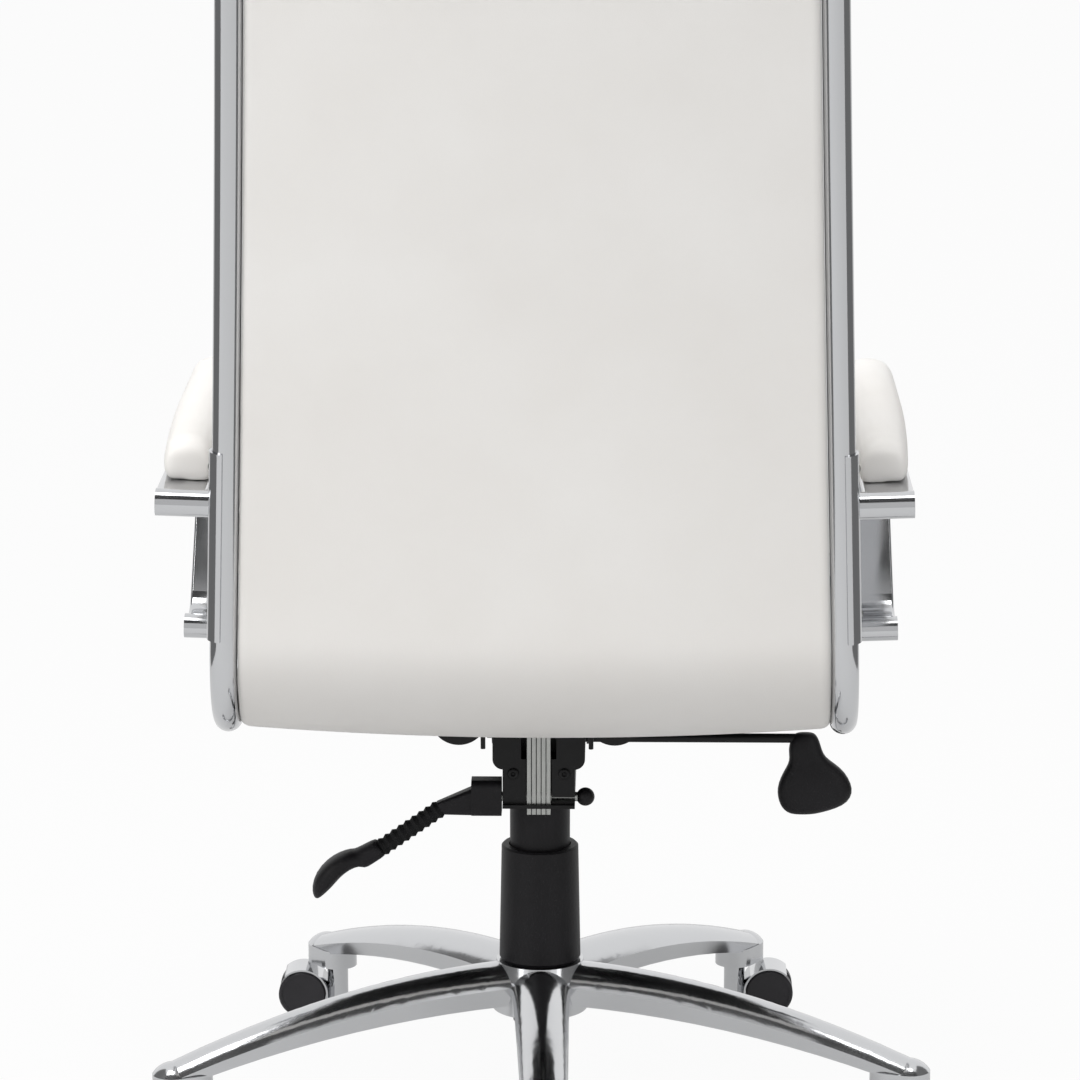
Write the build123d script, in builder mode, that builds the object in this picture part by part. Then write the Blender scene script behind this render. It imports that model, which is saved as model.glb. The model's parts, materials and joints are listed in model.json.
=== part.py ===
"""High-backed swivel office chair on a five-legged caster base.

Millimetres. Z is up, the sitter faces -Y and the sitter's left is +X.
The origin lies on the floor, on the axis of the gas lift.
Each piece is modelled where it sits with the gas lift at its lowest stop.
"""
import os
from math import asin, atan2, cos, degrees, hypot, pi, radians, sin, tan

from build123d import *

os.makedirs("parts", exist_ok=True)

# Clearances
RUNNING_FIT = 0.05          # radial, between a shaft and the hole it turns in
SEAT_FIT = 0.02             # radial, between pieces that are pressed or tapered together
SOFT_GAP = 0.3              # between a soft piece and what it lies on
THRUST_GAP = 0.3            # axial, between faces that turn on each other

# Star base
LEGS = 5
BASE_TURN = 1.8             # degrees the base is turned under the seat
STEM_CIRCLE = 311.0         # radius of the circle of caster stems
TIP_REACH = 16.5            # from a stem out to the middle of the leg's round end
TIP_CIRCLE = STEM_CIRCLE + TIP_REACH
LEG_ROOT = 30.0             # radius where the leg's loft starts inside the hub
LEG_ROOT_TOP = 131.0
LEG_TIP_TOP = 72.0
LEG_TOP_ARCH = 1.9          # power of the drop from root to tip
LEG_ROOT_UNDERSIDE = 97.0
LEG_TIP_UNDERSIDE = 53.0
LEG_UNDER_ARCH = 2.0
LEG_ROOT_HALF = 25.0        # half widths
LEG_TIP_HALF = 17.0
LEG_SIDE_DRAFT = 0.82       # underside width over widest width
LEG_SHOULDER = 0.5          # height of the widest line, as a share of the leg's depth
LEG_WALL = 5.0              # walls beside the hollow underside
POCKET_DEPTH = 0.42         # as a share of the leg's depth
POCKET_FIRST = 66.0         # radius where the first underside pocket starts
POCKET_END = 27.0           # from a stem in to the end of the last pocket
POCKET_LAST = STEM_CIRCLE - POCKET_END
POCKETS = 3
POCKET_RIB = 8.0
BOSS_BOTTOM = 46.0
BOSS_PROUD = 0.6            # the round end stands proud of the leg
HUB_R = 41.0
HUB_TOP_R = 37.5
HUB_BOTTOM = 88.0
HUB_TOP = 131.5

# Casters
STEM_R = 5.5
STEM_DEPTH = 17.0           # how far the stem goes into the leg's boss
STEM_FOOT = 18.0            # height of the stem's lower end
STEM_COLLAR_R = 8.0
STEM_COLLAR = 0.5
BARREL_R = 9.5
BARREL_BOTTOM = 14.0
TRAIL = 32.0                # axle behind the stem
WHEEL_R = 21.5
WHEEL_WIDTH = 13.0
WHEEL_EDGE = 1.4            # chamfer of the tread's edges
WHEEL_FACE_RIM = 3.2        # rim left around the sunk outer face
WHEEL_FACE_SINK = 0.7
WEB_HALF = 4.0              # half thickness of the hood's middle web
WHEEL_SIDE_GAP = 0.6
FENDER_GAP = 0.8            # radial, wheel to fender
FENDER_WALL = 1.5
FENDER_FROM = 48.0          # degrees from the trailing side
FENDER_TO = 205.0
AXLE_R = 4.0
AXLE_BOSS_R = 10.0
AXLE_DEPTH = 10.0           # how far the axle reaches into each wheel
CASTER_TURNS = (75, 140, 180, 0, 35)   # heading of each trailing wheel pair, degrees

# Gas lift
COLUMN_R = 24.5
COLUMN_WALL = 2.0
COLUMN_TAPER = 0.025        # radius per height, in the hub
COLUMN_BOTTOM = 76.0
COLUMN_TOP = 246.0
COLUMN_FLOOR = 4.0
SLEEVE_BOTTOM = 150.0
CYLINDER_R = 14.0
CYLINDER_WALL = 1.8
CYLINDER_BOTTOM = 112.0
CYLINDER_TOP = 316.0
CYLINDER_PLUG = 6.0
CYLINDER_CHAMBER_TOP = 268.0
CYLINDER_TAPER = 0.0155
ROD_R = 5.0
ROD_BOTTOM = 68.0
PISTON_BOTTOM = 222.0
PISTON_HEIGHT = 8.0
BEARING_R = 13.0
BEARING_HEIGHT = 6.0
ROD_COLLAR_R = 8.0
ROD_COLLAR_HEIGHT = 4.0
CLIP_R = 9.0
CLIP_GROOVE = 0.8           # depth of the rod's groove
CLIP_HEIGHT = 2.0
BUTTON_R = 4.0
BUTTON_LENGTH = 20.0
BUTTON_RISE = 7.0           # button above the cylinder's top
BUTTON_TRAVEL = 4.5
OUTER_COVER_R = 35.0
OUTER_COVER_TOP_R = 33.0
OUTER_COVER_TOP = 234.0
OUTER_COVER_WALL = 2.0
OUTER_COVER_EDGE = 3.0
INNER_COVER_GAP = 0.4       # radial, over the column tube
INNER_COVER_WALL = 0.9
INNER_COVER_BOTTOM = 138.0
INNER_COVER_TOP = 274.0
COVER_RUB = 0.8             # radial, between the two covers

# Tilt housing
SOCKET_R = 19.0
SOCKET_BOTTOM = 262.0
HOUSING_BOTTOM = 283.0
HOUSING_TOP = 345.0
HOUSING_LOWER_TALL = 33.0   # narrow lower part, below the shoulders
HOUSING_LOWER_HALF = 30.5
HOUSING_UPPER_HALF = 39.0
HOUSING_SHOULDER_ROUND = 9.0
HOUSING_FRONT = -92.0
HOUSING_REAR = 62.0
HOUSING_STRIP = 3.0         # thin bar across the foot of the lamella slot
PIVOT_Y = -70.0
PIVOT_Z = 318.0
TORSION_R = 6.0
TORSION_HEAD = 4.0
TILT_MAX = 15.0             # degrees, for the lamella slots
SLOT_SPARE = 1.0            # degrees the slots run past both ends of the tilt

# Lamella lock
LAMELLAE = 5
LAMELLA_THICK = 3.3
LAMELLA_PITCH = 4.1
LAMELLA_FRONT = 43.0
LAMELLA_REAR = 63.0
LAMELLA_FOOT = 277.0
LAMELLA_SLOT_GAP = 0.25     # radial, around the lock shaft
LAMELLA_SIDE_GAP = 1.0      # housing slot beside the pack
LOCK_Y = 52.0
LOCK_Z = 290.0
LOCK_SHAFT_R = 4.0
BALL_R = 7.8
BALL_GAP = 1.0              # ball to housing
SHAFT_WINDOW = 4.0          # height of the rear opening that shows the lock shaft
HANGER_PIN_R = 2.5
HANGER_DROP = 8.0           # hanger pin below the seat plate
HANGER_LUG = 3.0            # lug thickness

# Lock lever
LEVER_HUB_LENGTH = 25.5
LEVER_HUB_WIDE = 24.0
LEVER_HUB_TALL = 31.0
LEVER_NECK_X = 83.0         # where the ribbed neck starts
LEVER_NECK_DROP = 10.4      # below the lock shaft
LEVER_SLOPE = 35.0          # degrees the neck falls
LEVER_NECK_LENGTH = 63.0
LEVER_CORE_R = 5.0
BELLOWS_R = 8.0
BELLOWS_VALLEY_R = 6.2
BELLOWS_RIBS = 9
PADDLE_SLEEVE = 24.0
PADDLE_REACH = 71.0
PADDLE_WIDE = 33.0
PADDLE_THICK = 9.0
PADDLE_ARCH = 9.0           # rise of the leaf above the neck's line

# Height lever
HEIGHT_ROD_Z = 328.0
HEIGHT_ROD_R = 4.0
HEIGHT_ROD_REACH = 232.0
HEIGHT_PIVOT_X = -24.0
HEIGHT_PIVOT_R = 2.0
HEIGHT_PIN_HALF = 16.0
LEVER_POCKET_HALF = 12.0
TONGUE_GAP = 0.4
TONGUE_THICK = 4.0
TONGUE_HALF = 6.0
HANDLE_IN = 28.0            # bulb of the handle, inwards from the rod's end
HANDLE_OUT = 34.0           # and outwards
HANDLE_DROP = 65.0          # foot of the handle below the rod
HANDLE_NECK = 0.077         # top of the handle above the rod, as a share of its drop
HANDLE_THICK = 24.0
HANDLE_ROUND = 6.0

# Seat plate
PLATE_HALF = 92.0
PLATE_FRONT = -105.0
PLATE_REAR = 160.0
PLATE_THICK = 3.0
PLATE_LIP = 19.5            # deepest point of the dished rear lips
PLATE_LIP_INNER = 45.0
PLATE_LIP_LOW = 67.0
EAR_GAP = 0.4
EAR_THICK = 3.5
EAR_R = 14.0
STUD_R = 2.0
STUD_X = 44.5
STUD_Y = 145.0
STUD_LENGTH = 25.0
SCREW_X = 75.0
SCREW_FRONT = -80.0
SCREW_REAR = 105.0
SCREW_R = 3.0
SCREW_HEAD_R = 6.0
SCREW_HEAD = 4.0

# Seat and back line, followed by the rails
SEAT_SLOPE = 5.0            # degrees, front edge higher
CORNER_Y = 269.11           # where the seat's and the back's lower lines would meet
CORNER_Z = 387.69
BEND_R = 88.0               # bend between seat and back
BACK_LEAN_LOW = 3.0         # degrees from upright above the bend
BACK_LEAN_TOP = 13.0
BACK_CURVE_R = 3400.0
SEAT_FRONT = -235.0
RAIL_X = 248.0              # rail's centre at RAIL_Z
RAIL_Z = 400.0
RAIL_LEAN = 1.9             # degrees the rails close in towards the top
RAIL_R = 11.0
RAIL_WALL = 1.5
CAP_THICK = 4.0
CAP_PLUG = 10.0
PANEL_GAP = 1.5             # upholstery beside the rails

# Shell, bars and upholstery, as offsets from the seat and back line, outwards positive
SHELL_INNER = -13.0
SHELL_OUTER = -5.0
SHELL_EDGE_GAP = 4.0        # shell inside the rails
BAR_WIDE = 30.0
BAR_AIR = 0.1
COVER_EDGE = 6.3
COVER_CROWN = 15.0
BEND_STEPS = 10             # sections of the cover around the bend
BACK_STEPS = 8              # and up the back
SEAT_PAD = 75.5             # crest of the seat cushion above the shell
BACK_PAD = 60.0
SEAT_FRONT_LEAD = 85.0      # lengths over which the cushions swell from their ends
SEAT_REAR_LEAD = 150.0
BACK_FOOT_LEAD = 105.0
BACK_TOP_LEAD = 110.0
CHANNEL_DEPTH = 7.0
SEAT_CHANNELS = 6
BACK_CHANNELS = 9
SEAT_OVERHANG = 16.0        # cushion in front of the rails' ends
BACK_OVERHANG = 18.0        # cushion above the rails' ends
CREASE = 3.0                # degrees of the bend left open between the cushions

# Arms
ARM_OUT = 38.0              # middle of the strap, outwards from the rail's plane
STRAP_WIDE = 40.0
STRAP_THICK = 8.0
STRAP_EDGE = 2.5
ARM_REAR_Y = 247.0
ARM_REAR_Z = 590.0
ARM_FRONT_Y = -158.0
ARM_FRONT_Z = 597.0
ARM_HEEL_Y = -80.0
ARM_HEEL_Z = 415.0
ARM_FOOT_Y = -30.0
ARM_FOOT_Z = 416.0
ARM_FRONT_R = 45.0
ARM_HEEL_R = 28.0
KNUCKLE_R = 11.0
KNUCKLE_DROP = 7.0          # rear knuckle below the strap
FOOT_KNUCKLE_R = 10.5
BRACKET_GAP = 0.2
BRACKET_THICK = 2.2         # half shell around the rail's outer side
BRACKET_FROM = -75.0        # degrees from straight outwards, towards the front
BRACKET_TO = 80.0           # and towards the rear
BRACKET_LOW_Z = 480.0
BRACKET_HIGH_Z = 634.0
BRACKET_LUG = 5.0           # thickness of the lug that carries the arm's rear knuckle
ARM_SCREW_LOW_Z = 500.0
ARM_SCREW_HIGH_Z = 618.0
ARM_SCREW_TURN = -42.0      # degrees from straight outwards, towards the front
ARM_SCREW_R = 3.0
ARM_SCREW_HEAD_R = 4.5
ARM_SCREW_HEAD = 2.5
PAD_REAR_Y = 218.0
PAD_FRONT_Y = -136.0
PAD_HALF = 20.5
PAD_INSET = 2.5             # pad nearer to the seat than the strap's middle
PAD_TALL = 38.0


def save(builder, node):
    """Label a finished piece and write its STEP file."""
    builder.part.label = node
    export_step(builder.part, f"parts/{node}.step")


def blend(start, end, share):
    """Value part of the way from start to end."""
    return start + (end - start) * share


# Star base: one casting, a turned hub with lofted legs and hollow undersides

def leg_size(radius):
    """Top, underside and half width of a leg at a distance from the column axis."""
    share = (radius - LEG_ROOT) / (TIP_CIRCLE - LEG_ROOT)
    top = blend(LEG_ROOT_TOP, LEG_TIP_TOP, share ** LEG_TOP_ARCH)
    underside = blend(LEG_ROOT_UNDERSIDE, LEG_TIP_UNDERSIDE, share ** LEG_UNDER_ARCH)
    half = blend(LEG_ROOT_HALF, LEG_TIP_HALF, share)
    return top, underside, half


def leg_plane(radius):
    """Upright plane across a leg that runs along +X."""
    return Plane(origin=(radius, 0, 0), x_dir=(0, 1, 0), z_dir=(1, 0, 0))


LEG_STATIONS = 5
with BuildPart() as leg:
    for station in range(LEG_STATIONS):
        radius = blend(LEG_ROOT, TIP_CIRCLE, station / (LEG_STATIONS - 1))
        top, underside, half = leg_size(radius)
        shoulder = blend(underside, top, LEG_SHOULDER)
        foot = half * LEG_SIDE_DRAFT
        with BuildSketch(leg_plane(radius)):
            with BuildLine():
                Polyline((half, shoulder), (foot, underside), (-foot, underside), (-half, shoulder))
                ThreePointArc((-half, shoulder), (0, top), (half, shoulder))
            make_face()
    loft()
    tip_top, tip_underside, tip_half = leg_size(TIP_CIRCLE)
    tip_shoulder = blend(tip_underside, tip_top, LEG_SHOULDER)
    end_half = tip_half + BOSS_PROUD
    end_top = tip_top + BOSS_PROUD / 2
    dome_rise = end_top - tip_shoulder
    dome_r = (end_half ** 2 + dome_rise ** 2) / (2 * dome_rise)
    with BuildSketch(Plane(origin=(TIP_CIRCLE, 0, 0), x_dir=(1, 0, 0), z_dir=(0, -1, 0))):
        with BuildLine():
            Polyline((0, end_top), (0, BOSS_BOTTOM), (end_half, BOSS_BOTTOM), (end_half, tip_shoulder))
            RadiusArc((end_half, tip_shoulder), (0, end_top), -dome_r)
        make_face()
    revolve(axis=Axis((TIP_CIRCLE, 0, 0), (0, 0, 1)))
    with BuildSketch(Plane.XY.offset(BOSS_BOTTOM)):
        with Locations(((TIP_CIRCLE + STEM_CIRCLE) / 2, 0)):
            SlotCenterToCenter(TIP_CIRCLE - STEM_CIRCLE, 2 * end_half)
    extrude(amount=tip_shoulder - BOSS_BOTTOM)
    pocket_length = (POCKET_LAST - POCKET_FIRST - POCKET_RIB * (POCKETS - 1)) / POCKETS
    for pocket in range(POCKETS):
        pocket_start = POCKET_FIRST + pocket * (pocket_length + POCKET_RIB)
        for radius in (pocket_start, pocket_start + pocket_length):
            top, underside, half = leg_size(radius)
            roof = blend(underside, top, POCKET_DEPTH)
            wide = half * LEG_SIDE_DRAFT - LEG_WALL
            below = underside - LEG_WALL
            with BuildSketch(leg_plane(radius)):
                with BuildLine():
                    Polyline((wide, below), (wide, roof), (-wide, roof), (-wide, below), close=True)
                make_face()
        loft(ruled=True, mode=Mode.SUBTRACT)

first_leg = 90 + BASE_TURN
with BuildPart() as star_base:
    with BuildSketch(Plane.XZ):
        with BuildLine():
            Polyline(
                (0, HUB_BOTTOM),
                (HUB_R, HUB_BOTTOM),
                (HUB_R, blend(HUB_BOTTOM, HUB_TOP, 0.7)),
                (HUB_TOP_R, HUB_TOP),
                (0, HUB_TOP),
                close=True,
            )
        make_face()
    revolve(axis=Axis.Z)
    with PolarLocations(0, LEGS, start_angle=first_leg):
        add(leg.part)
    hub_bore_low = COLUMN_R - (HUB_TOP - HUB_BOTTOM) * COLUMN_TAPER + SEAT_FIT
    with BuildSketch(Plane.XZ):
        with BuildLine():
            Polyline(
                (0, HUB_BOTTOM),
                (hub_bore_low, HUB_BOTTOM),
                (COLUMN_R + SEAT_FIT, HUB_TOP),
                (0, HUB_TOP),
                close=True,
            )
        make_face()
    revolve(axis=Axis.Z, mode=Mode.SUBTRACT)
    with BuildSketch(Plane.XY.offset(BOSS_BOTTOM)):
        with PolarLocations(STEM_CIRCLE, LEGS, start_angle=first_leg):
            Circle(STEM_R + SEAT_FIT)
    extrude(amount=STEM_DEPTH, mode=Mode.SUBTRACT)
save(star_base, "star_base")

with BuildPart() as caster_stems:
    with BuildSketch(Plane.XY.offset(STEM_FOOT)):
        with PolarLocations(STEM_CIRCLE, LEGS, start_angle=first_leg):
            Circle(STEM_R)
    extrude(amount=BOSS_BOTTOM + STEM_DEPTH - STEM_FOOT)
    with BuildSketch(Plane.XY.offset(BOSS_BOTTOM - STEM_COLLAR)):
        with PolarLocations(STEM_CIRCLE, LEGS, start_angle=first_leg):
            Circle(STEM_COLLAR_R)
    extrude(amount=STEM_COLLAR)
save(caster_stems, "caster_stems")


# Casters: hood with stem barrel, fender and web, one axle and two free wheels each

FENDER_R = WHEEL_R + FENDER_GAP + FENDER_WALL
WHEEL_INNER = WEB_HALF + WHEEL_SIDE_GAP
HOOD_HALF = WHEEL_INNER + WHEEL_WIDTH
BARREL_TOP = BOSS_BOTTOM - STEM_COLLAR - THRUST_GAP


def sector_outline(inner, outer):
    """Outline of the fender's sector between two radii around the axle, in the caster's side plane."""
    axle = (TRAIL, WHEEL_R)
    span = FENDER_TO - FENDER_FROM
    rim = CenterArc(axle, outer, FENDER_FROM, span)
    if inner > 0:
        lip = CenterArc(axle, inner, FENDER_FROM, span)
        Line(rim @ 0, lip @ 0)
        Line(rim @ 1, lip @ 1)
    else:
        Line(rim @ 0, axle)
        Line(axle, rim @ 1)


for number, turn in enumerate(CASTER_TURNS, start=1):
    leg_angle = radians(first_leg + (number - 1) * 360 / LEGS)
    stem = (STEM_CIRCLE * cos(leg_angle), STEM_CIRCLE * sin(leg_angle), 0)
    trail_dir = (cos(radians(turn)), sin(radians(turn)), 0)
    floor_plane = Plane(origin=stem, x_dir=trail_dir, z_dir=(0, 0, 1))
    side_plane = Plane(origin=stem, x_dir=trail_dir, z_dir=(trail_dir[1], -trail_dir[0], 0))

    with BuildPart() as caster_hood:
        with BuildSketch(side_plane):
            with BuildLine():
                sector_outline(WHEEL_R + FENDER_GAP, FENDER_R)
            make_face()
        extrude(amount=HOOD_HALF, both=True)
        with BuildSketch(side_plane):
            with BuildLine():
                sector_outline(0, WHEEL_R + FENDER_GAP + FENDER_WALL / 2)
            make_face()
            with Locations((TRAIL, WHEEL_R)):
                Circle(AXLE_BOSS_R)
        extrude(amount=WEB_HALF, both=True)
        with BuildSketch(floor_plane.offset(BARREL_BOTTOM)):
            Circle(BARREL_R)
        extrude(amount=BARREL_TOP - BARREL_BOTTOM)
        with BuildSketch(floor_plane.offset(BARREL_BOTTOM)):
            Circle(STEM_R + RUNNING_FIT)
        extrude(amount=BARREL_TOP - BARREL_BOTTOM, mode=Mode.SUBTRACT)
        with BuildSketch(side_plane):
            with Locations((TRAIL, WHEEL_R)):
                Circle(AXLE_R + SEAT_FIT)
        extrude(amount=HOOD_HALF, both=True, mode=Mode.SUBTRACT)
    save(caster_hood, f"caster_hood_{number}")

    with BuildPart() as caster_axle:
        with BuildSketch(side_plane):
            with Locations((TRAIL, WHEEL_R)):
                Circle(AXLE_R)
        extrude(amount=WHEEL_INNER + AXLE_DEPTH, both=True)
    save(caster_axle, f"caster_axle_{number}")

    for side, way in (("a", 1), ("b", -1)):
        with BuildPart() as caster_wheel:
            with BuildSketch(side_plane.offset(way * WHEEL_INNER)):
                with Locations((TRAIL, WHEEL_R)):
                    Circle(WHEEL_R)
            extrude(amount=way * WHEEL_WIDTH)
            chamfer(caster_wheel.edges().filter_by(GeomType.CIRCLE), WHEEL_EDGE)
            with BuildSketch(side_plane.offset(way * (WHEEL_INNER + WHEEL_WIDTH))):
                with Locations((TRAIL, WHEEL_R)):
                    Circle(WHEEL_R - WHEEL_FACE_RIM)
            extrude(amount=-way * WHEEL_FACE_SINK, mode=Mode.SUBTRACT)
            with BuildSketch(side_plane.offset(way * WHEEL_INNER)):
                with Locations((TRAIL, WHEEL_R)):
                    Circle(AXLE_R + RUNNING_FIT)
            extrude(amount=way * (AXLE_DEPTH + WHEEL_SIDE_GAP), mode=Mode.SUBTRACT)
        save(caster_wheel, f"caster_wheel_{number}{side}")


# Gas lift column, all turned about the Z axis

def column_radius(height):
    """Outer radius of the column tube, tapered where it sits in the hub."""
    return COLUMN_R - max(0.0, HUB_TOP - height) * COLUMN_TAPER


COLUMN_BORE = COLUMN_R - COLUMN_WALL
with BuildPart() as column_tube:
    with BuildSketch(Plane.XZ):
        with BuildLine():
            Polyline(
                (ROD_COLLAR_R, COLUMN_BOTTOM),
                (column_radius(COLUMN_BOTTOM), COLUMN_BOTTOM),
                (COLUMN_R, HUB_TOP),
                (COLUMN_R, COLUMN_TOP),
                (COLUMN_BORE, COLUMN_TOP),
                (COLUMN_BORE, HUB_TOP),
                (column_radius(COLUMN_BOTTOM) - COLUMN_WALL, COLUMN_BOTTOM + COLUMN_FLOOR),
                (ROD_COLLAR_R, COLUMN_BOTTOM + COLUMN_FLOOR),
                close=True,
            )
        make_face()
    revolve(axis=Axis.Z)
save(column_tube, "column_tube")

with BuildPart() as guide_sleeve:
    with BuildSketch(Plane.XY.offset(SLEEVE_BOTTOM)):
        Circle(COLUMN_BORE - SEAT_FIT)
        Circle(CYLINDER_R + RUNNING_FIT, mode=Mode.SUBTRACT)
    extrude(amount=COLUMN_TOP - SLEEVE_BOTTOM)
save(guide_sleeve, "guide_sleeve")

BEARING_BOTTOM = COLUMN_BOTTOM + COLUMN_FLOOR
with BuildPart() as thrust_bearing:
    with BuildSketch(Plane.XY.offset(BEARING_BOTTOM)):
        Circle(BEARING_R)
        Circle(ROD_R + RUNNING_FIT, mode=Mode.SUBTRACT)
    extrude(amount=BEARING_HEIGHT)
save(thrust_bearing, "thrust_bearing")

ROD_COLLAR_BOTTOM = BEARING_BOTTOM + BEARING_HEIGHT + THRUST_GAP
CLIP_TOP = COLUMN_BOTTOM - THRUST_GAP
CHAMBER_R = CYLINDER_R - CYLINDER_WALL
with BuildPart() as piston_rod:
    with BuildSketch(Plane.XZ):
        with BuildLine():
            Polyline(
                (0, ROD_BOTTOM),
                (ROD_R, ROD_BOTTOM),
                (ROD_R, CLIP_TOP - CLIP_HEIGHT),
                (ROD_R - CLIP_GROOVE, CLIP_TOP - CLIP_HEIGHT),
                (ROD_R - CLIP_GROOVE, CLIP_TOP),
                (ROD_R, CLIP_TOP),
                (ROD_R, ROD_COLLAR_BOTTOM),
                (ROD_COLLAR_R, ROD_COLLAR_BOTTOM),
                (ROD_COLLAR_R, ROD_COLLAR_BOTTOM + ROD_COLLAR_HEIGHT),
                (ROD_R, ROD_COLLAR_BOTTOM + ROD_COLLAR_HEIGHT),
                (ROD_R, PISTON_BOTTOM),
                (CHAMBER_R - RUNNING_FIT, PISTON_BOTTOM),
                (CHAMBER_R - RUNNING_FIT, PISTON_BOTTOM + PISTON_HEIGHT),
                (0, PISTON_BOTTOM + PISTON_HEIGHT),
                close=True,
            )
        make_face()
    revolve(axis=Axis.Z)
save(piston_rod, "piston_rod")

with BuildPart() as retaining_clip:
    with BuildSketch(Plane.XY.offset(CLIP_TOP - CLIP_HEIGHT)):
        Circle(CLIP_R)
        Circle(ROD_R - CLIP_GROOVE + SEAT_FIT, mode=Mode.SUBTRACT)
        with Locations((CLIP_R, 0)):
            Rectangle(2 * CLIP_R, ROD_R, mode=Mode.SUBTRACT)
    extrude(amount=CLIP_HEIGHT)
save(retaining_clip, "retaining_clip")


def cylinder_radius(height):
    """Outer radius of the gas cylinder, tapered where it sits in the housing's socket."""
    return CYLINDER_R - max(0.0, height - SOCKET_BOTTOM) * CYLINDER_TAPER


BUTTON_TOP = CYLINDER_TOP + BUTTON_RISE
BUTTON_WELL = BUTTON_TOP - BUTTON_LENGTH - BUTTON_TRAVEL
with BuildPart() as gas_cylinder:
    with BuildSketch(Plane.XZ):
        with BuildLine():
            Polyline(
                (0, CYLINDER_BOTTOM),
                (CYLINDER_R, CYLINDER_BOTTOM),
                (CYLINDER_R, SOCKET_BOTTOM),
                (cylinder_radius(CYLINDER_TOP), CYLINDER_TOP),
                (0, CYLINDER_TOP),
                close=True,
            )
        make_face()
    revolve(axis=Axis.Z)
    with BuildSketch(Plane.XZ):
        with BuildLine():
            Polyline(
                (0, CYLINDER_BOTTOM),
                (ROD_R + RUNNING_FIT, CYLINDER_BOTTOM),
                (ROD_R + RUNNING_FIT, CYLINDER_BOTTOM + CYLINDER_PLUG),
                (CHAMBER_R, CYLINDER_BOTTOM + CYLINDER_PLUG),
                (CHAMBER_R, CYLINDER_CHAMBER_TOP),
                (0, CYLINDER_CHAMBER_TOP),
                close=True,
            )
        make_face()
    revolve(axis=Axis.Z, mode=Mode.SUBTRACT)
    with BuildSketch(Plane.XY.offset(BUTTON_WELL)):
        Circle(BUTTON_R + RUNNING_FIT)
    extrude(amount=CYLINDER_TOP - BUTTON_WELL, mode=Mode.SUBTRACT)
save(gas_cylinder, "gas_cylinder")

with BuildPart() as gas_button:
    with BuildSketch(Plane.XY.offset(BUTTON_TOP - BUTTON_LENGTH)):
        Circle(BUTTON_R)
    extrude(amount=BUTTON_LENGTH)
save(gas_button, "gas_button")

INNER_COVER_BORE = COLUMN_R + INNER_COVER_GAP
INNER_COVER_R = INNER_COVER_BORE + INNER_COVER_WALL
with BuildPart() as inner_cover:
    with BuildSketch(Plane.XZ):
        with BuildLine():
            Polyline(
                (INNER_COVER_BORE, INNER_COVER_BOTTOM),
                (INNER_COVER_R, INNER_COVER_BOTTOM),
                (INNER_COVER_R, INNER_COVER_TOP),
                (SOCKET_R + SEAT_FIT, INNER_COVER_TOP),
                (SOCKET_R + SEAT_FIT, INNER_COVER_TOP - 2 * INNER_COVER_WALL),
                (INNER_COVER_BORE, INNER_COVER_TOP - 2 * INNER_COVER_WALL),
                close=True,
            )
        make_face()
    revolve(axis=Axis.Z)
save(inner_cover, "inner_cover")

with BuildPart() as outer_cover:
    cover_lip = INNER_COVER_R + COVER_RUB
    with BuildSketch(Plane.XZ):
        with BuildLine():
            Polyline(
                (OUTER_COVER_R - OUTER_COVER_WALL, HUB_TOP),
                (OUTER_COVER_R - OUTER_COVER_EDGE, HUB_TOP),
                (OUTER_COVER_R, HUB_TOP + OUTER_COVER_EDGE),
                (OUTER_COVER_TOP_R, OUTER_COVER_TOP - OUTER_COVER_EDGE / 2),
                (OUTER_COVER_TOP_R - OUTER_COVER_EDGE / 2, OUTER_COVER_TOP),
                (cover_lip, OUTER_COVER_TOP),
                (cover_lip, OUTER_COVER_TOP - OUTER_COVER_WALL),
                (OUTER_COVER_TOP_R - OUTER_COVER_WALL, OUTER_COVER_TOP - 2 * OUTER_COVER_WALL),
                (OUTER_COVER_R - OUTER_COVER_WALL - OUTER_COVER_EDGE, HUB_TOP + OUTER_COVER_EDGE),
                (OUTER_COVER_R - OUTER_COVER_WALL - OUTER_COVER_EDGE, HUB_TOP),
                close=True,
            )
        make_face()
    revolve(axis=Axis.Z)
save(outer_cover, "outer_cover")


# Seat and back line: a straight under the seat, a bend, and a gentle curve up the back

SEAT_HEADING = -SEAT_SLOPE
BACK_HEADING_LOW = 90 - BACK_LEAN_LOW
BACK_HEADING_TOP = 90 - BACK_LEAN_TOP
BEND_LENGTH = BEND_R * radians(BACK_HEADING_LOW - SEAT_HEADING)
BACK_LENGTH = BACK_CURVE_R * radians(BACK_HEADING_LOW - BACK_HEADING_TOP)
BEND_TANGENT = BEND_R * tan(radians(BACK_HEADING_LOW - SEAT_HEADING) / 2)
BEND_START_Y = CORNER_Y - BEND_TANGENT * cos(radians(SEAT_HEADING))
BEND_START_Z = CORNER_Z - BEND_TANGENT * sin(radians(SEAT_HEADING))
BEND_Y = BEND_START_Y - BEND_R * sin(radians(SEAT_HEADING))
BEND_Z = BEND_START_Z + BEND_R * cos(radians(SEAT_HEADING))
LINE_FRONT = (SEAT_FRONT - BEND_START_Y) / cos(radians(SEAT_HEADING))
LINE_TOP = BEND_LENGTH + BACK_LENGTH


def line_heading(run):
    """Heading of the line in degrees above level, at a run measured from the start of the bend."""
    if run <= 0:
        return SEAT_HEADING
    if run <= BEND_LENGTH:
        return SEAT_HEADING + degrees(run / BEND_R)
    return BACK_HEADING_LOW - degrees((run - BEND_LENGTH) / BACK_CURVE_R)


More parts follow.
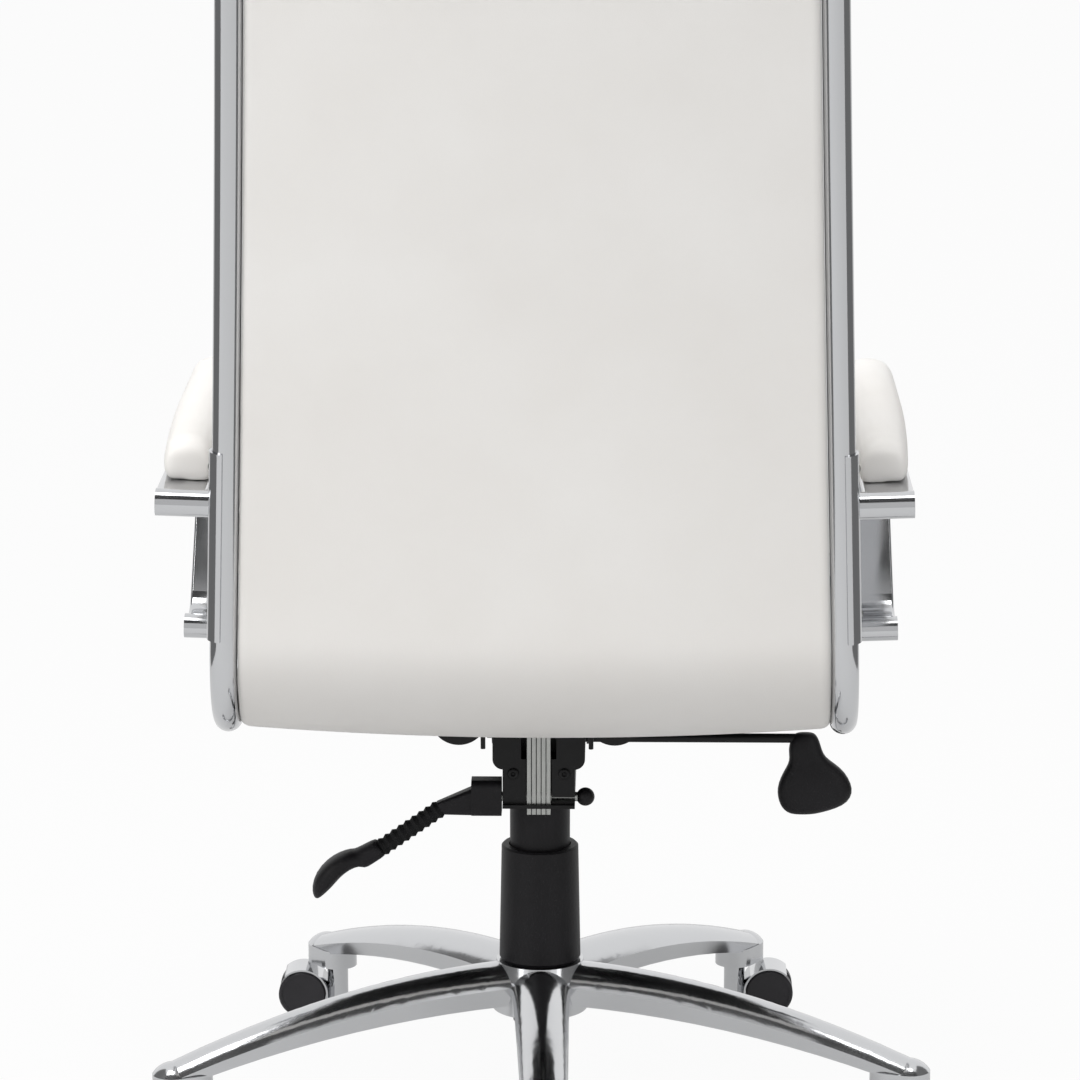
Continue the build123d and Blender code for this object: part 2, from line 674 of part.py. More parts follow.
def line_point(run, outwards=0.0):
    """(y, z) on the line at a run, moved to its outer side, which is below the seat and behind the back."""
    heading = radians(line_heading(run))
    if run <= 0:
        y = BEND_START_Y + run * cos(heading)
        z = BEND_START_Z + run * sin(heading)
    elif run <= BEND_LENGTH:
        y = BEND_Y + BEND_R * sin(heading)
        z = BEND_Z - BEND_R * cos(heading)
    else:
        low = radians(BACK_HEADING_LOW)
        y = BEND_Y + BEND_R * sin(low) + BACK_CURVE_R * (sin(low) - sin(heading))
        z = BEND_Z - BEND_R * cos(low) + BACK_CURVE_R * (cos(heading) - cos(low))
    return y + outwards * sin(heading), z - outwards * cos(heading)


def back_run(height):
    """Run where the back part of the line passes a height."""
    low = radians(BACK_HEADING_LOW)
    rise = height - (BEND_Z - BEND_R * cos(low))
    heading = pi / 2 - asin(rise / BACK_CURVE_R + cos(low))
    return BEND_LENGTH + BACK_CURVE_R * (low - heading)


def cross_plane(run):
    """Plane square to the line, with X across the chair and Y to the outer side."""
    heading = radians(line_heading(run))
    y, z = line_point(run)
    return Plane(origin=(0, y, z), x_dir=(1, 0, 0), z_dir=(0, cos(heading), sin(heading)))


def rail_x(height):
    """Distance of a rail's middle from the chair's middle plane."""
    return RAIL_X - (height - RAIL_Z) * tan(radians(RAIL_LEAN))


def panel_half(run):
    """Half width of the upholstery between the rails."""
    return rail_x(line_point(run)[1]) - RAIL_R - PANEL_GAP


lean = radians(RAIL_LEAN)
SIDE = Plane(origin=(RAIL_X, 0, RAIL_Z), x_dir=(0, 1, 0), z_dir=(cos(lean), 0, sin(lean)))
ARM = SIDE.offset(ARM_OUT)


def on_side(point):
    """Local coordinates in the leaning side plane of a (y, z) point."""
    return point[0], point[1] - RAIL_Z


def strip_outline(start, end, inner, outer):
    """Closed outline of a strip along the line between two runs and two offsets."""
    stops = [start] + [mark for mark in (0.0, BEND_LENGTH) if start < mark < end] + [end]
    for offset in (inner, outer):
        for near, far in zip(stops, stops[1:]):
            first = line_point(near, offset)
            middle = line_point((near + far) / 2, offset)
            last = line_point(far, offset)
            if far <= 0:
                Line(first, last)
            else:
                ThreePointArc(first, middle, last)
    for run in (start, end):
        Line(line_point(run, inner), line_point(run, outer))


def rail_plane(run):
    """Plane square to the left rail, with X straight outwards and Y to the rear."""
    heading = radians(line_heading(run))
    origin = SIDE.from_local_coords(Vector(*on_side(line_point(run))))
    ahead = SIDE.x_dir * cos(heading) + SIDE.y_dir * sin(heading)
    return Plane(origin=origin, x_dir=SIDE.z_dir, z_dir=ahead)


def arm_screw_plane(height):
    """Plane through the left rail's middle, facing along an arm screw."""
    square = rail_plane(back_run(height))
    turn = radians(ARM_SCREW_TURN)
    return Plane(
        origin=square.origin,
        x_dir=square.z_dir,
        z_dir=square.x_dir * cos(turn) + square.y_dir * sin(turn),
    )


with BuildPart() as side_rail_left:
    with BuildLine(SIDE):
        Line(on_side(line_point(LINE_FRONT)), on_side(line_point(0)))
        ThreePointArc(*(on_side(line_point(BEND_LENGTH * share)) for share in (0, 0.5, 1)))
        ThreePointArc(*(on_side(line_point(BEND_LENGTH + BACK_LENGTH * share)) for share in (0, 0.5, 1)))
    rail_start = SIDE.from_local_coords(Vector(*on_side(line_point(LINE_FRONT))))
    rail_ahead = SIDE.from_local_coords(Vector(*on_side(line_point(0)))) - rail_start
    with BuildSketch(Plane(origin=rail_start, x_dir=SIDE.z_dir, z_dir=rail_ahead)):
        Circle(RAIL_R)
        Circle(RAIL_R - RAIL_WALL, mode=Mode.SUBTRACT)
    sweep()
    for height in (ARM_SCREW_LOW_Z, ARM_SCREW_HIGH_Z):
        with BuildSketch(arm_screw_plane(height)):
            Circle(ARM_SCREW_R + SEAT_FIT)
        extrude(amount=2 * RAIL_R, mode=Mode.SUBTRACT)
save(side_rail_left, "side_rail_left")

with BuildPart() as side_rail_right:
    mirror(side_rail_left.part, about=Plane.YZ)
save(side_rail_right, "side_rail_right")

with BuildPart() as rail_caps:
    for run, way in ((LINE_FRONT, -1), (LINE_TOP, 1)):
        end = SIDE.from_local_coords(Vector(*on_side(line_point(run))))
        heading = radians(line_heading(run))
        ahead = SIDE.x_dir * cos(heading) + SIDE.y_dir * sin(heading)
        cap_plane = Plane(origin=end, x_dir=SIDE.z_dir, z_dir=ahead * way)
        with BuildSketch(cap_plane):
            Circle(RAIL_R)
        extrude(amount=CAP_THICK, taper=20)
        with BuildSketch(cap_plane):
            Circle(RAIL_R - RAIL_WALL - SEAT_FIT)
        extrude(amount=-CAP_PLUG)
    mirror(about=Plane.YZ)
save(rail_caps, "rail_caps")


# Seat plate: pressed steel under the shell, hinged on the torsion bar

PLATE_RUN = -BEND_START_Y / cos(radians(SEAT_HEADING))
plate_y, plate_z = line_point(PLATE_RUN, COVER_CROWN + SOFT_GAP)
PLATE = Plane(
    origin=(0, plate_y, plate_z),
    x_dir=(1, 0, 0),
    z_dir=(0, -sin(radians(SEAT_HEADING)), cos(radians(SEAT_HEADING))),
)
SCREW_POINTS = [(x, y) for x in (-SCREW_X, SCREW_X) for y in (SCREW_FRONT, SCREW_REAR)]


def plate_underside(y):
    """Height of the seat plate's underside at a distance behind the column."""
    return plate_z - PLATE_THICK / cos(radians(SEAT_SLOPE)) - (y - plate_y) * tan(radians(SEAT_SLOPE))


SHELL_ABOVE = COVER_CROWN + SOFT_GAP - SHELL_INNER
EAR_INNER = HOUSING_UPPER_HALF + EAR_GAP
PACK_HALF = ((LAMELLAE - 1) * LAMELLA_PITCH + LAMELLA_THICK) / 2
LUG_INNER = PACK_HALF + LAMELLA_SIDE_GAP
HANGER_Y = (LAMELLA_FRONT + LAMELLA_REAR) / 2
HANGER_Z = plate_underside(HANGER_Y) - HANGER_DROP
with BuildPart() as seat_plate:
    with BuildSketch(PLATE):
        with Locations((0, (PLATE_FRONT + PLATE_REAR) / 2)):
            RectangleRounded(2 * PLATE_HALF, PLATE_REAR - PLATE_FRONT, 2 * PLATE_THICK)
    extrude(amount=-PLATE_THICK)
    lip_origin = PLATE.from_local_coords(Vector(0, PLATE_REAR, 0))
    lip_plane = Plane(origin=lip_origin, x_dir=PLATE.x_dir, z_dir=PLATE.y_dir)
    with BuildSketch(lip_plane):
        with BuildLine():
            lip_end = PLATE_HALF - 2 * PLATE_THICK
            lip_start = (PLATE_LIP_INNER, PLATE_LIP / 2)
            Polyline((lip_end, PLATE_THICK), (PLATE_LIP_INNER, PLATE_THICK), lip_start)
            ThreePointArc(lip_start, (PLATE_LIP_LOW, PLATE_LIP), (lip_end, PLATE_THICK))
        make_face()
        mirror(about=Plane.YZ)
    extrude(amount=-PLATE_THICK)
    with BuildSketch(Plane.YZ.offset(EAR_INNER)):
        with BuildLine():
            Polyline(
                (PIVOT_Y - EAR_R, PIVOT_Z),
                (PIVOT_Y - EAR_R, plate_underside(PIVOT_Y - EAR_R)),
                (PIVOT_Y + EAR_R, plate_underside(PIVOT_Y + EAR_R)),
                (PIVOT_Y + EAR_R, PIVOT_Z),
            )
            CenterArc((PIVOT_Y, PIVOT_Z), EAR_R, 180, 180)
        make_face()
        with Locations((PIVOT_Y, PIVOT_Z)):
            Circle(TORSION_R + RUNNING_FIT, mode=Mode.SUBTRACT)
    extrude(amount=EAR_THICK)
    with BuildSketch(Plane.YZ.offset(LUG_INNER)):
        with BuildLine():
            Polyline(
                (LAMELLA_FRONT, plate_underside(LAMELLA_FRONT)),
                (LAMELLA_REAR, plate_underside(LAMELLA_REAR)),
                (LAMELLA_REAR, HANGER_Z - 2 * HANGER_PIN_R),
                (LAMELLA_FRONT, HANGER_Z - 2 * HANGER_PIN_R),
                close=True,
            )
        make_face()
        with Locations((HANGER_Y, HANGER_Z)):
            Circle(HANGER_PIN_R + SEAT_FIT, mode=Mode.SUBTRACT)
    extrude(amount=HANGER_LUG)
    mirror(about=Plane.YZ)
    with BuildSketch(PLATE.offset(-PLATE_THICK)):
        with Locations((STUD_X, STUD_Y), (-STUD_X, STUD_Y)):
            Circle(STUD_R)
    extrude(amount=-STUD_LENGTH)
    with BuildSketch(PLATE.offset(-PLATE_THICK)):
        with Locations(*SCREW_POINTS):
            Circle(SCREW_R + SEAT_FIT)
    extrude(amount=PLATE_THICK, mode=Mode.SUBTRACT)
save(seat_plate, "seat_plate")

with BuildPart() as seat_screws:
    with BuildSketch(PLATE.offset(-PLATE_THICK)):
        with Locations(*SCREW_POINTS):
            RegularPolygon(SCREW_HEAD_R, 6)
    extrude(amount=-SCREW_HEAD)
    with BuildSketch(PLATE.offset(-PLATE_THICK)):
        with Locations(*SCREW_POINTS):
            Circle(SCREW_R)
    extrude(amount=PLATE_THICK + SHELL_ABOVE - SOFT_GAP)
save(seat_screws, "seat_screws")


# Tilt housing and what turns in it

def slot_outline(half):
    """Outline of the curved slot that lets the lamellae pass the lock shaft as the seat tilts."""
    pivot = (PIVOT_Y, PIVOT_Z)
    reach = hypot(LOCK_Y - PIVOT_Y, LOCK_Z - PIVOT_Z)
    start = degrees(atan2(LOCK_Z - PIVOT_Z, LOCK_Y - PIVOT_Y)) - SLOT_SPARE
    span = TILT_MAX + 2 * SLOT_SPARE
    outer = CenterArc(pivot, reach + half, start, span)
    inner = CenterArc(pivot, reach - half, start, span)
    middle = CenterArc(pivot, reach, start, span, mode=Mode.PRIVATE)
    ThreePointArc(inner @ 0, middle @ 0 - middle % 0 * half, outer @ 0)
    ThreePointArc(inner @ 1, middle @ 1 + middle % 1 * half, outer @ 1)


HOUSING_SHOULDER = HOUSING_BOTTOM + HOUSING_LOWER_TALL
SLOT_HALF = PACK_HALF + LAMELLA_SIDE_GAP
lamella_swing = (LAMELLA_FRONT - PIVOT_Y) / cos(radians(TILT_MAX))
lamella_swing -= (PIVOT_Z - HOUSING_BOTTOM) * tan(radians(TILT_MAX))
SLOT_FRONT = PIVOT_Y + lamella_swing - LAMELLA_SIDE_GAP
LUG_CLEAR = LUG_INNER + HANGER_LUG + LAMELLA_SIDE_GAP
LUG_POCKET_FLOOR = HOUSING_SHOULDER + HOUSING_SHOULDER_ROUND
with BuildPart() as tilt_housing:
    with BuildSketch(Plane.XZ.offset(-HOUSING_REAR)):
        with BuildLine():
            Polyline(
                (0, HOUSING_BOTTOM),
                (HOUSING_LOWER_HALF, HOUSING_BOTTOM),
                (HOUSING_LOWER_HALF, HOUSING_SHOULDER),
                (HOUSING_UPPER_HALF - HOUSING_SHOULDER_ROUND, HOUSING_SHOULDER),
            )
            turn_x = HOUSING_UPPER_HALF - HOUSING_SHOULDER_ROUND
            shoulder_turn = (turn_x, HOUSING_SHOULDER + HOUSING_SHOULDER_ROUND)
            CenterArc(shoulder_turn, HOUSING_SHOULDER_ROUND, -90, 90)
            Polyline(
                (HOUSING_UPPER_HALF, HOUSING_SHOULDER + HOUSING_SHOULDER_ROUND),
                (HOUSING_UPPER_HALF, HOUSING_TOP),
                (0, HOUSING_TOP),
                (0, HOUSING_BOTTOM),
            )
        make_face()
        mirror(about=Plane.YZ)
    extrude(amount=HOUSING_REAR - HOUSING_FRONT)
    with BuildSketch(Plane.XY.offset(SOCKET_BOTTOM)):
        Circle(SOCKET_R)
    extrude(amount=HOUSING_BOTTOM - SOCKET_BOTTOM)
    with BuildSketch(Plane.XZ):
        with BuildLine():
            Polyline(
                (0, SOCKET_BOTTOM),
                (CYLINDER_R + SEAT_FIT, SOCKET_BOTTOM),
                (cylinder_radius(CYLINDER_TOP) + SEAT_FIT, CYLINDER_TOP),
                (0, CYLINDER_TOP),
                close=True,
            )
        make_face()
    revolve(axis=Axis.Z, mode=Mode.SUBTRACT)
    pocket_right = CYLINDER_R
    pocket_left = -HOUSING_UPPER_HALF
    with BuildSketch(Plane.XY.offset(CYLINDER_TOP)):
        with Locations(((pocket_left + pocket_right) / 2, 0)):
            Rectangle(pocket_right - pocket_left, 2 * LEVER_POCKET_HALF)
    extrude(amount=HOUSING_TOP - CYLINDER_TOP, mode=Mode.SUBTRACT)
    with BuildSketch(Plane.XZ.offset(-HEIGHT_PIN_HALF)):
        with Locations((HEIGHT_PIVOT_X, HEIGHT_ROD_Z)):
            Circle(HEIGHT_PIVOT_R + SEAT_FIT)
    extrude(amount=2 * HEIGHT_PIN_HALF, mode=Mode.SUBTRACT)
    slot_middle = (SLOT_FRONT + HOUSING_REAR) / 2
    with BuildSketch(Plane.XY.offset(HOUSING_BOTTOM)):
        with Locations((0, slot_middle)):
            Rectangle(2 * SLOT_HALF, HOUSING_REAR - SLOT_FRONT)
    extrude(amount=HOUSING_TOP - HOUSING_BOTTOM, mode=Mode.SUBTRACT)
    with BuildSketch(Plane.XY.offset(LUG_POCKET_FLOOR)):
        with Locations((0, slot_middle)):
            Rectangle(2 * LUG_CLEAR, HOUSING_REAR - SLOT_FRONT)
    extrude(amount=HOUSING_TOP - LUG_POCKET_FLOOR, mode=Mode.SUBTRACT)
    with BuildSketch(Plane.YZ.offset(-HOUSING_LOWER_HALF)):
        strip_rear = LAMELLA_REAR + 2 * LAMELLA_SIDE_GAP
        with BuildLine():
            Polyline(
                (HOUSING_REAR, HOUSING_BOTTOM),
                (strip_rear + HOUSING_STRIP / 2, HOUSING_BOTTOM),
                (strip_rear + HOUSING_STRIP / 2, HOUSING_BOTTOM + HOUSING_STRIP),
                (HOUSING_REAR, HOUSING_BOTTOM + HOUSING_STRIP),
                close=True,
            )
        make_face()
    extrude(amount=2 * HOUSING_LOWER_HALF)
    with BuildSketch(Plane.XY.offset(HOUSING_BOTTOM)):
        with Locations((0, (SLOT_FRONT + strip_rear) / 2)):
            Rectangle(2 * SLOT_HALF, strip_rear - SLOT_FRONT)
    extrude(amount=HOUSING_STRIP, mode=Mode.SUBTRACT)
    window = HOUSING_LOWER_HALF - SLOT_HALF
    with BuildSketch(Plane.XZ.offset(-HOUSING_REAR)):
        with Locations((-SLOT_HALF - window / 2, LOCK_Z)):
            Rectangle(window, SHAFT_WINDOW)
    extrude(amount=HOUSING_REAR - LOCK_Y, mode=Mode.SUBTRACT)
    with BuildSketch(Plane.YZ.offset(-HOUSING_UPPER_HALF)):
        with Locations((PIVOT_Y, PIVOT_Z)):
            Circle(TORSION_R + SEAT_FIT)
        with Locations((LOCK_Y, LOCK_Z)):
            Circle(LOCK_SHAFT_R + RUNNING_FIT)
    extrude(amount=2 * HOUSING_UPPER_HALF, mode=Mode.SUBTRACT)
save(tilt_housing, "tilt_housing")

EAR_OUTER = EAR_INNER + EAR_THICK
with BuildPart() as torsion_bar:
    with BuildSketch(Plane.YZ.offset(-EAR_OUTER - THRUST_GAP)):
        with Locations((PIVOT_Y, PIVOT_Z)):
            Circle(TORSION_R)
    extrude(amount=2 * (EAR_OUTER + THRUST_GAP))
    with BuildSketch(Plane.YZ.offset(EAR_OUTER + THRUST_GAP)):
        with Locations((PIVOT_Y, PIVOT_Z)):
            RegularPolygon(1.6 * TORSION_R, 6)
    extrude(amount=TORSION_HEAD)
    mirror(about=Plane.YZ)
save(torsion_bar, "torsion_bar")

with BuildPart() as lever_pivot:
    with BuildSketch(Plane.XZ.offset(-HEIGHT_PIN_HALF)):
        with Locations((HEIGHT_PIVOT_X, HEIGHT_ROD_Z)):
            Circle(HEIGHT_PIVOT_R)
    extrude(amount=2 * HEIGHT_PIN_HALF)
save(lever_pivot, "lever_pivot")

with BuildPart() as lamella_pack:
    for number in range(LAMELLAE):
        left = number * LAMELLA_PITCH - PACK_HALF
        with BuildSketch(Plane.YZ.offset(left)):
            with BuildLine():
                lamella_top = HANGER_Z + 2 * HANGER_PIN_R
                Polyline(
                    (LAMELLA_FRONT, LAMELLA_FOOT),
                    (LAMELLA_REAR, LAMELLA_FOOT),
                    (LAMELLA_REAR, lamella_top),
                    (LAMELLA_FRONT, lamella_top),
                    close=True,
                )
            make_face()
            with BuildLine():
                slot_outline(LOCK_SHAFT_R + LAMELLA_SLOT_GAP)
            make_face(mode=Mode.SUBTRACT)
            with Locations((HANGER_Y, HANGER_Z)):
                Circle(HANGER_PIN_R + SEAT_FIT, mode=Mode.SUBTRACT)
        extrude(amount=LAMELLA_THICK)
save(lamella_pack, "lamella_pack")

with BuildPart() as hanger_pin:
    hanger_half = LUG_INNER + HANGER_LUG
    with BuildSketch(Plane.YZ.offset(-hanger_half)):
        with Locations((HANGER_Y, HANGER_Z)):
            Circle(HANGER_PIN_R)
    extrude(amount=2 * hanger_half)
save(hanger_pin, "hanger_pin")


# Lock lever on its cross shaft

HUB_INNER = HOUSING_LOWER_HALF + BALL_GAP
BALL_X = -(HOUSING_LOWER_HALF + BALL_GAP + BALL_R)
SHAFT_LEFT = BALL_X
SHAFT_RIGHT = HUB_INNER + 0.8 * LEVER_HUB_LENGTH
with BuildPart() as lock_shaft:
    with BuildSketch(Plane.YZ.offset(SHAFT_LEFT)):
        with Locations((LOCK_Y, LOCK_Z)):
            Circle(LOCK_SHAFT_R)
    extrude(amount=SHAFT_RIGHT - SHAFT_LEFT)
save(lock_shaft, "lock_shaft")

ball_bore = LOCK_SHAFT_R + SEAT_FIT
ball_mouth = (BALL_R ** 2 - ball_bore ** 2) ** 0.5
with BuildPart() as ball_knob:
    with BuildSketch(Plane(origin=(BALL_X, LOCK_Y, LOCK_Z), x_dir=(1, 0, 0), z_dir=(0, -1, 0))):
        with BuildLine():
            Polyline((ball_mouth, ball_bore), (-SOFT_GAP, ball_bore), (-SOFT_GAP, 0), (-BALL_R, 0))
            ThreePointArc((-BALL_R, 0), (0, BALL_R), (ball_mouth, ball_bore))
        make_face()
    revolve(axis=Axis((BALL_X, LOCK_Y, LOCK_Z), (1, 0, 0)))
save(ball_knob, "ball_knob")

lever_fall = radians(LEVER_SLOPE)
lever_dir = Vector(cos(lever_fall), 0, -sin(lever_fall))
NECK_START = Vector(LEVER_NECK_X, LOCK_Y, LOCK_Z - LEVER_NECK_DROP)


def lever_plane(run):
    """Plane square to the lever's neck at a run from its start."""
    return Plane(origin=NECK_START + lever_dir * run, x_dir=(0, 1, 0), z_dir=lever_dir)


with BuildPart() as lock_arm:
    with BuildSketch(Plane.YZ.offset(HUB_INNER)):
        with Locations((LOCK_Y, LOCK_Z)):
            RectangleRounded(LEVER_HUB_WIDE, LEVER_HUB_TALL, LEVER_HUB_WIDE / 4)
    extrude(amount=LEVER_HUB_LENGTH)
    with BuildSketch(Plane.YZ.offset(HUB_INNER + LEVER_HUB_LENGTH - LOCK_SHAFT_R)):
        with Locations((LOCK_Y, LOCK_Z - LEVER_HUB_TALL * 0.1)):
            RectangleRounded(LEVER_HUB_WIDE * 0.8, LEVER_HUB_TALL * 0.8, LEVER_HUB_WIDE / 5)
    with BuildSketch(lever_plane(0)):
        RectangleRounded(2 * BELLOWS_VALLEY_R, 2 * BELLOWS_VALLEY_R, BELLOWS_VALLEY_R / 2)
    loft(ruled=True)
    with BuildSketch(lever_plane(0)):
        Circle(LEVER_CORE_R)
    extrude(amount=LEVER_NECK_LENGTH + PADDLE_SLEEVE / 2)
    with BuildSketch(Plane.YZ.offset(HUB_INNER)):
        with Locations((LOCK_Y, LOCK_Z)):
            Circle(LOCK_SHAFT_R + SEAT_FIT)
    extrude(amount=SHAFT_RIGHT - HUB_INNER, mode=Mode.SUBTRACT)
save(lock_arm, "lock_arm")

with BuildPart() as lock_bellows:
    bellows_plane = Plane(origin=NECK_START, x_dir=lever_dir, z_dir=(0, 1, 0))
    bellows_bore = LEVER_CORE_R + SEAT_FIT
    rib_pitch = LEVER_NECK_LENGTH / BELLOWS_RIBS
    with BuildSketch(bellows_plane):
        with BuildLine():
            outline = [(0, bellows_bore), (0, BELLOWS_VALLEY_R)]
            for rib in range(BELLOWS_RIBS):
                outline.append(((rib + 0.5) * rib_pitch, BELLOWS_R))
                outline.append(((rib + 1) * rib_pitch, BELLOWS_VALLEY_R))
            outline.append((LEVER_NECK_LENGTH, bellows_bore))
            Polyline(*outline, close=True)
        make_face()
    revolve(axis=Axis(NECK_START, lever_dir))
save(lock_bellows, "lock_bellows")

with BuildPart() as lock_paddle:
    with BuildSketch(lever_plane(LEVER_NECK_LENGTH)):
        RectangleRounded(2.6 * BELLOWS_R, 2 * BELLOWS_R, BELLOWS_R / 2)
    extrude(amount=PADDLE_SLEEVE)
    leaf = ((0.06, 0.5, 0.9, 0.3), (0.35, 0.95, 1.0, 0.9), (0.7, 0.9, 0.8, 1.0), (1.0, 0.4, 0.5, 0.6))
    for share, wide, thick, rise in leaf:
        tall = PADDLE_THICK * thick
        with BuildSketch(lever_plane(LEVER_NECK_LENGTH + share * PADDLE_REACH)):
            with Locations((0, PADDLE_ARCH * rise)):
                RectangleRounded(PADDLE_WIDE * wide, tall, 0.45 * tall)
    loft()
    with BuildSketch(lever_plane(LEVER_NECK_LENGTH)):
        Circle(LEVER_CORE_R + SEAT_FIT)
    extrude(amount=PADDLE_SLEEVE / 2, mode=Mode.SUBTRACT)
save(lock_paddle, "lock_paddle")


# Height lever: rod on a pivot pin, tongue over the release button, hanging handle

with BuildPart() as height_rod:
    with BuildSketch(Plane.YZ.offset(-HEIGHT_ROD_REACH)):
        with Locations((0, HEIGHT_ROD_Z)):
            Circle(HEIGHT_ROD_R)
    extrude(amount=HEIGHT_ROD_REACH + HEIGHT_PIVOT_X + 3 * HEIGHT_PIVOT_R)
    tongue_bottom = BUTTON_TOP + TONGUE_GAP
    tongue_back = HEIGHT_PIVOT_X + 2 * HEIGHT_PIVOT_R
    tongue_tip = BUTTON_R + 2 * HEIGHT_PIVOT_R
    with BuildSketch(Plane.XY.offset(tongue_bottom)):
        with Locations(((tongue_back + tongue_tip) / 2, 0)):
            RectangleRounded(tongue_tip - tongue_back, 2 * TONGUE_HALF, HEIGHT_PIVOT_R)
    extrude(amount=TONGUE_THICK)
    with BuildSketch(Plane.XZ.offset(-HEIGHT_PIN_HALF)):
        with Locations((HEIGHT_PIVOT_X, HEIGHT_ROD_Z)):
            Circle(HEIGHT_PIVOT_R + RUNNING_FIT)
    extrude(amount=2 * HEIGHT_PIN_HALF, mode=Mode.SUBTRACT)
save(height_rod, "height_rod")

def handle_point(share, reach, drop):
    """Point of the handle's outline, as shares of its reach and drop from the rod's end."""
    return -HEIGHT_ROD_REACH + share * reach, HEIGHT_ROD_Z + drop * HANDLE_DROP


with BuildPart() as height_handle:
    with BuildSketch(Plane.XZ.offset(-HANDLE_THICK / 2)):
        with BuildLine():
            neck_in = handle_point(0.6, HANDLE_IN, HANDLE_NECK)
            neck_out = handle_point(-0.18, HANDLE_OUT, HANDLE_NECK)
            hip_out = handle_point(-1, HANDLE_OUT, -0.74)
            toe_out = handle_point(-0.82, HANDLE_OUT, -0.92)
            toe_in = handle_point(0.32, HANDLE_IN, -1)
            hip_in = handle_point(1, HANDLE_IN, -0.74)
            Line(neck_in, neck_out)
            ThreePointArc(neck_out, handle_point(-0.44, HANDLE_OUT, -0.4), hip_out)
            ThreePointArc(hip_out, handle_point(-1.03, HANDLE_OUT, -0.86), toe_out)
            Line(toe_out, toe_in)
            ThreePointArc(toe_in, handle_point(0.89, HANDLE_IN, -0.92), hip_in)
            ThreePointArc(hip_in, handle_point(0.71, HANDLE_IN, -0.34), neck_in)
        make_face()
    extrude(amount=HANDLE_THICK)
    fillet(height_handle.faces().filter_by(Axis.Y).edges(), HANDLE_ROUND)
    with BuildSketch(Plane.YZ.offset(-HEIGHT_ROD_REACH)):
        with Locations((0, HEIGHT_ROD_Z)):
            Circle(HEIGHT_ROD_R + SEAT_FIT)
    extrude(amount=HEIGHT_ROD_REACH / 2, mode=Mode.SUBTRACT)
save(height_handle, "height_handle")


# Cross bars, shell and upholstery

LUMBAR_RUN = back_run(0.5 * (RAIL_Z + BRACKET_HIGH_Z))
BAR_RUNS = (LINE_FRONT + 3 * BAR_WIDE, -BAR_WIDE, LUMBAR_RUN, LINE_TOP - 2 * BAR_WIDE)
with BuildPart() as cross_bars:
    for run in BAR_RUNS:
        bar_half = rail_x(line_point(run)[1] + BAR_WIDE / 2) - RAIL_R - BRACKET_GAP
        with BuildSketch(cross_plane(run).offset(-BAR_WIDE / 2)):
            with Locations((0, SHELL_OUTER / 2)):
                Rectangle(2 * bar_half, -SHELL_OUTER - 2 * BAR_AIR)
        extrude(amount=BAR_WIDE)
save(cross_bars, "cross_bars")

with BuildPart() as seat_shell:
    with BuildSketch(Plane.YZ):
        with BuildLine():
            strip_outline(LINE_FRONT, LINE_TOP, SHELL_INNER, SHELL_OUTER)
        make_face()
    extrude(amount=RAIL_X, both=True)
    shell_low = rail_x(0) - RAIL_R - SHELL_EDGE_GAP
    shell_high = rail_x(2 * RAIL_Z) - RAIL_R - SHELL_EDGE_GAP
    with BuildSketch(Plane.XZ):
        with BuildLine():
            Polyline(
                (shell_low, 0),
                (2 * shell_high - shell_low, 4 * RAIL_Z),
                (shell_low - 2 * shell_high, 4 * RAIL_Z),
                (-shell_low, 0),
                close=True,
            )
        make_face()
    extrude(amount=2 * BACK_LENGTH, both=True, mode=Mode.INTERSECT)
    with BuildSketch(PLATE.offset(-PLATE_THICK)):
        with Locations(*SCREW_POINTS):
            Circle(SCREW_R + SEAT_FIT)
    extrude(amount=PLATE_THICK + SHELL_ABOVE, mode=Mode.SUBTRACT)
save(seat_shell, "seat_shell")


def cover_outline(half, edge, crown):
    """Section of the rear cover: flat inside, rolled edges, crowned outside."""
    Line((edge / 3 - half, SOFT_GAP), (half - edge / 3, SOFT_GAP))
    ThreePointArc((half - edge / 3, SOFT_GAP), (half, edge / 2), (half - edge / 2, edge))
    ThreePointArc((half - edge / 2, edge), (0, crown), (edge / 2 - half, edge))
    ThreePointArc((edge / 2 - half, edge), (-half, edge / 2), (edge / 3 - half, SOFT_GAP))


with BuildPart() as rear_cover:
    cover_runs = [LINE_FRONT + PANEL_GAP, LINE_FRONT + 2 * COVER_CROWN]
    cover_runs += [BEND_LENGTH * step / BEND_STEPS for step in range(BEND_STEPS)]
    cover_runs += [BEND_LENGTH + BACK_LENGTH * step / BACK_STEPS for step in range(BACK_STEPS + 1)]
    cover_runs += [LINE_TOP + BACK_OVERHANG]
    for run in cover_runs:
        at_end = run in (cover_runs[0], cover_runs[-1])
        thinning = 0.65 if at_end else 1
        with BuildSketch(cross_plane(run)):
            with BuildLine():
                cover_outline(panel_half(run), COVER_EDGE * thinning, COVER_CROWN * thinning)
            make_face()
    loft(ruled=True)
    with BuildSketch(PLATE.offset(-PLATE_THICK)):
        with Locations(*SCREW_POINTS):
            Circle(SCREW_R + SEAT_FIT)
    extrude(amount=PLATE_THICK + SHELL_ABOVE, mode=Mode.SUBTRACT)
save(rear_cover, "rear_cover")


def cushion_outline(half, thick):
    """Section of a cushion on the shell's inner side: drawn-in sides, round shoulders, crowned face."""
    seat = SHELL_INNER - SOFT_GAP
    foot = (half - 0.06 * thick, seat)
    side = (half, seat - 0.22 * thick)
    hip = (half - 0.05 * thick, seat - 0.42 * thick)
    shoulder = (half - 0.28 * thick, seat - 0.66 * thick)
    brow = (half - 0.62 * thick, seat - 0.82 * thick)
    for way in (1, -1):
        ThreePointArc(*((way * x, y) for x, y in (foot, side, hip)))
        ThreePointArc(*((way * x, y) for x, y in (hip, shoulder, brow)))
    ThreePointArc(brow, (0, seat - thick), (-brow[0], brow[1]))
    Line(foot, (-foot[0], foot[1]))


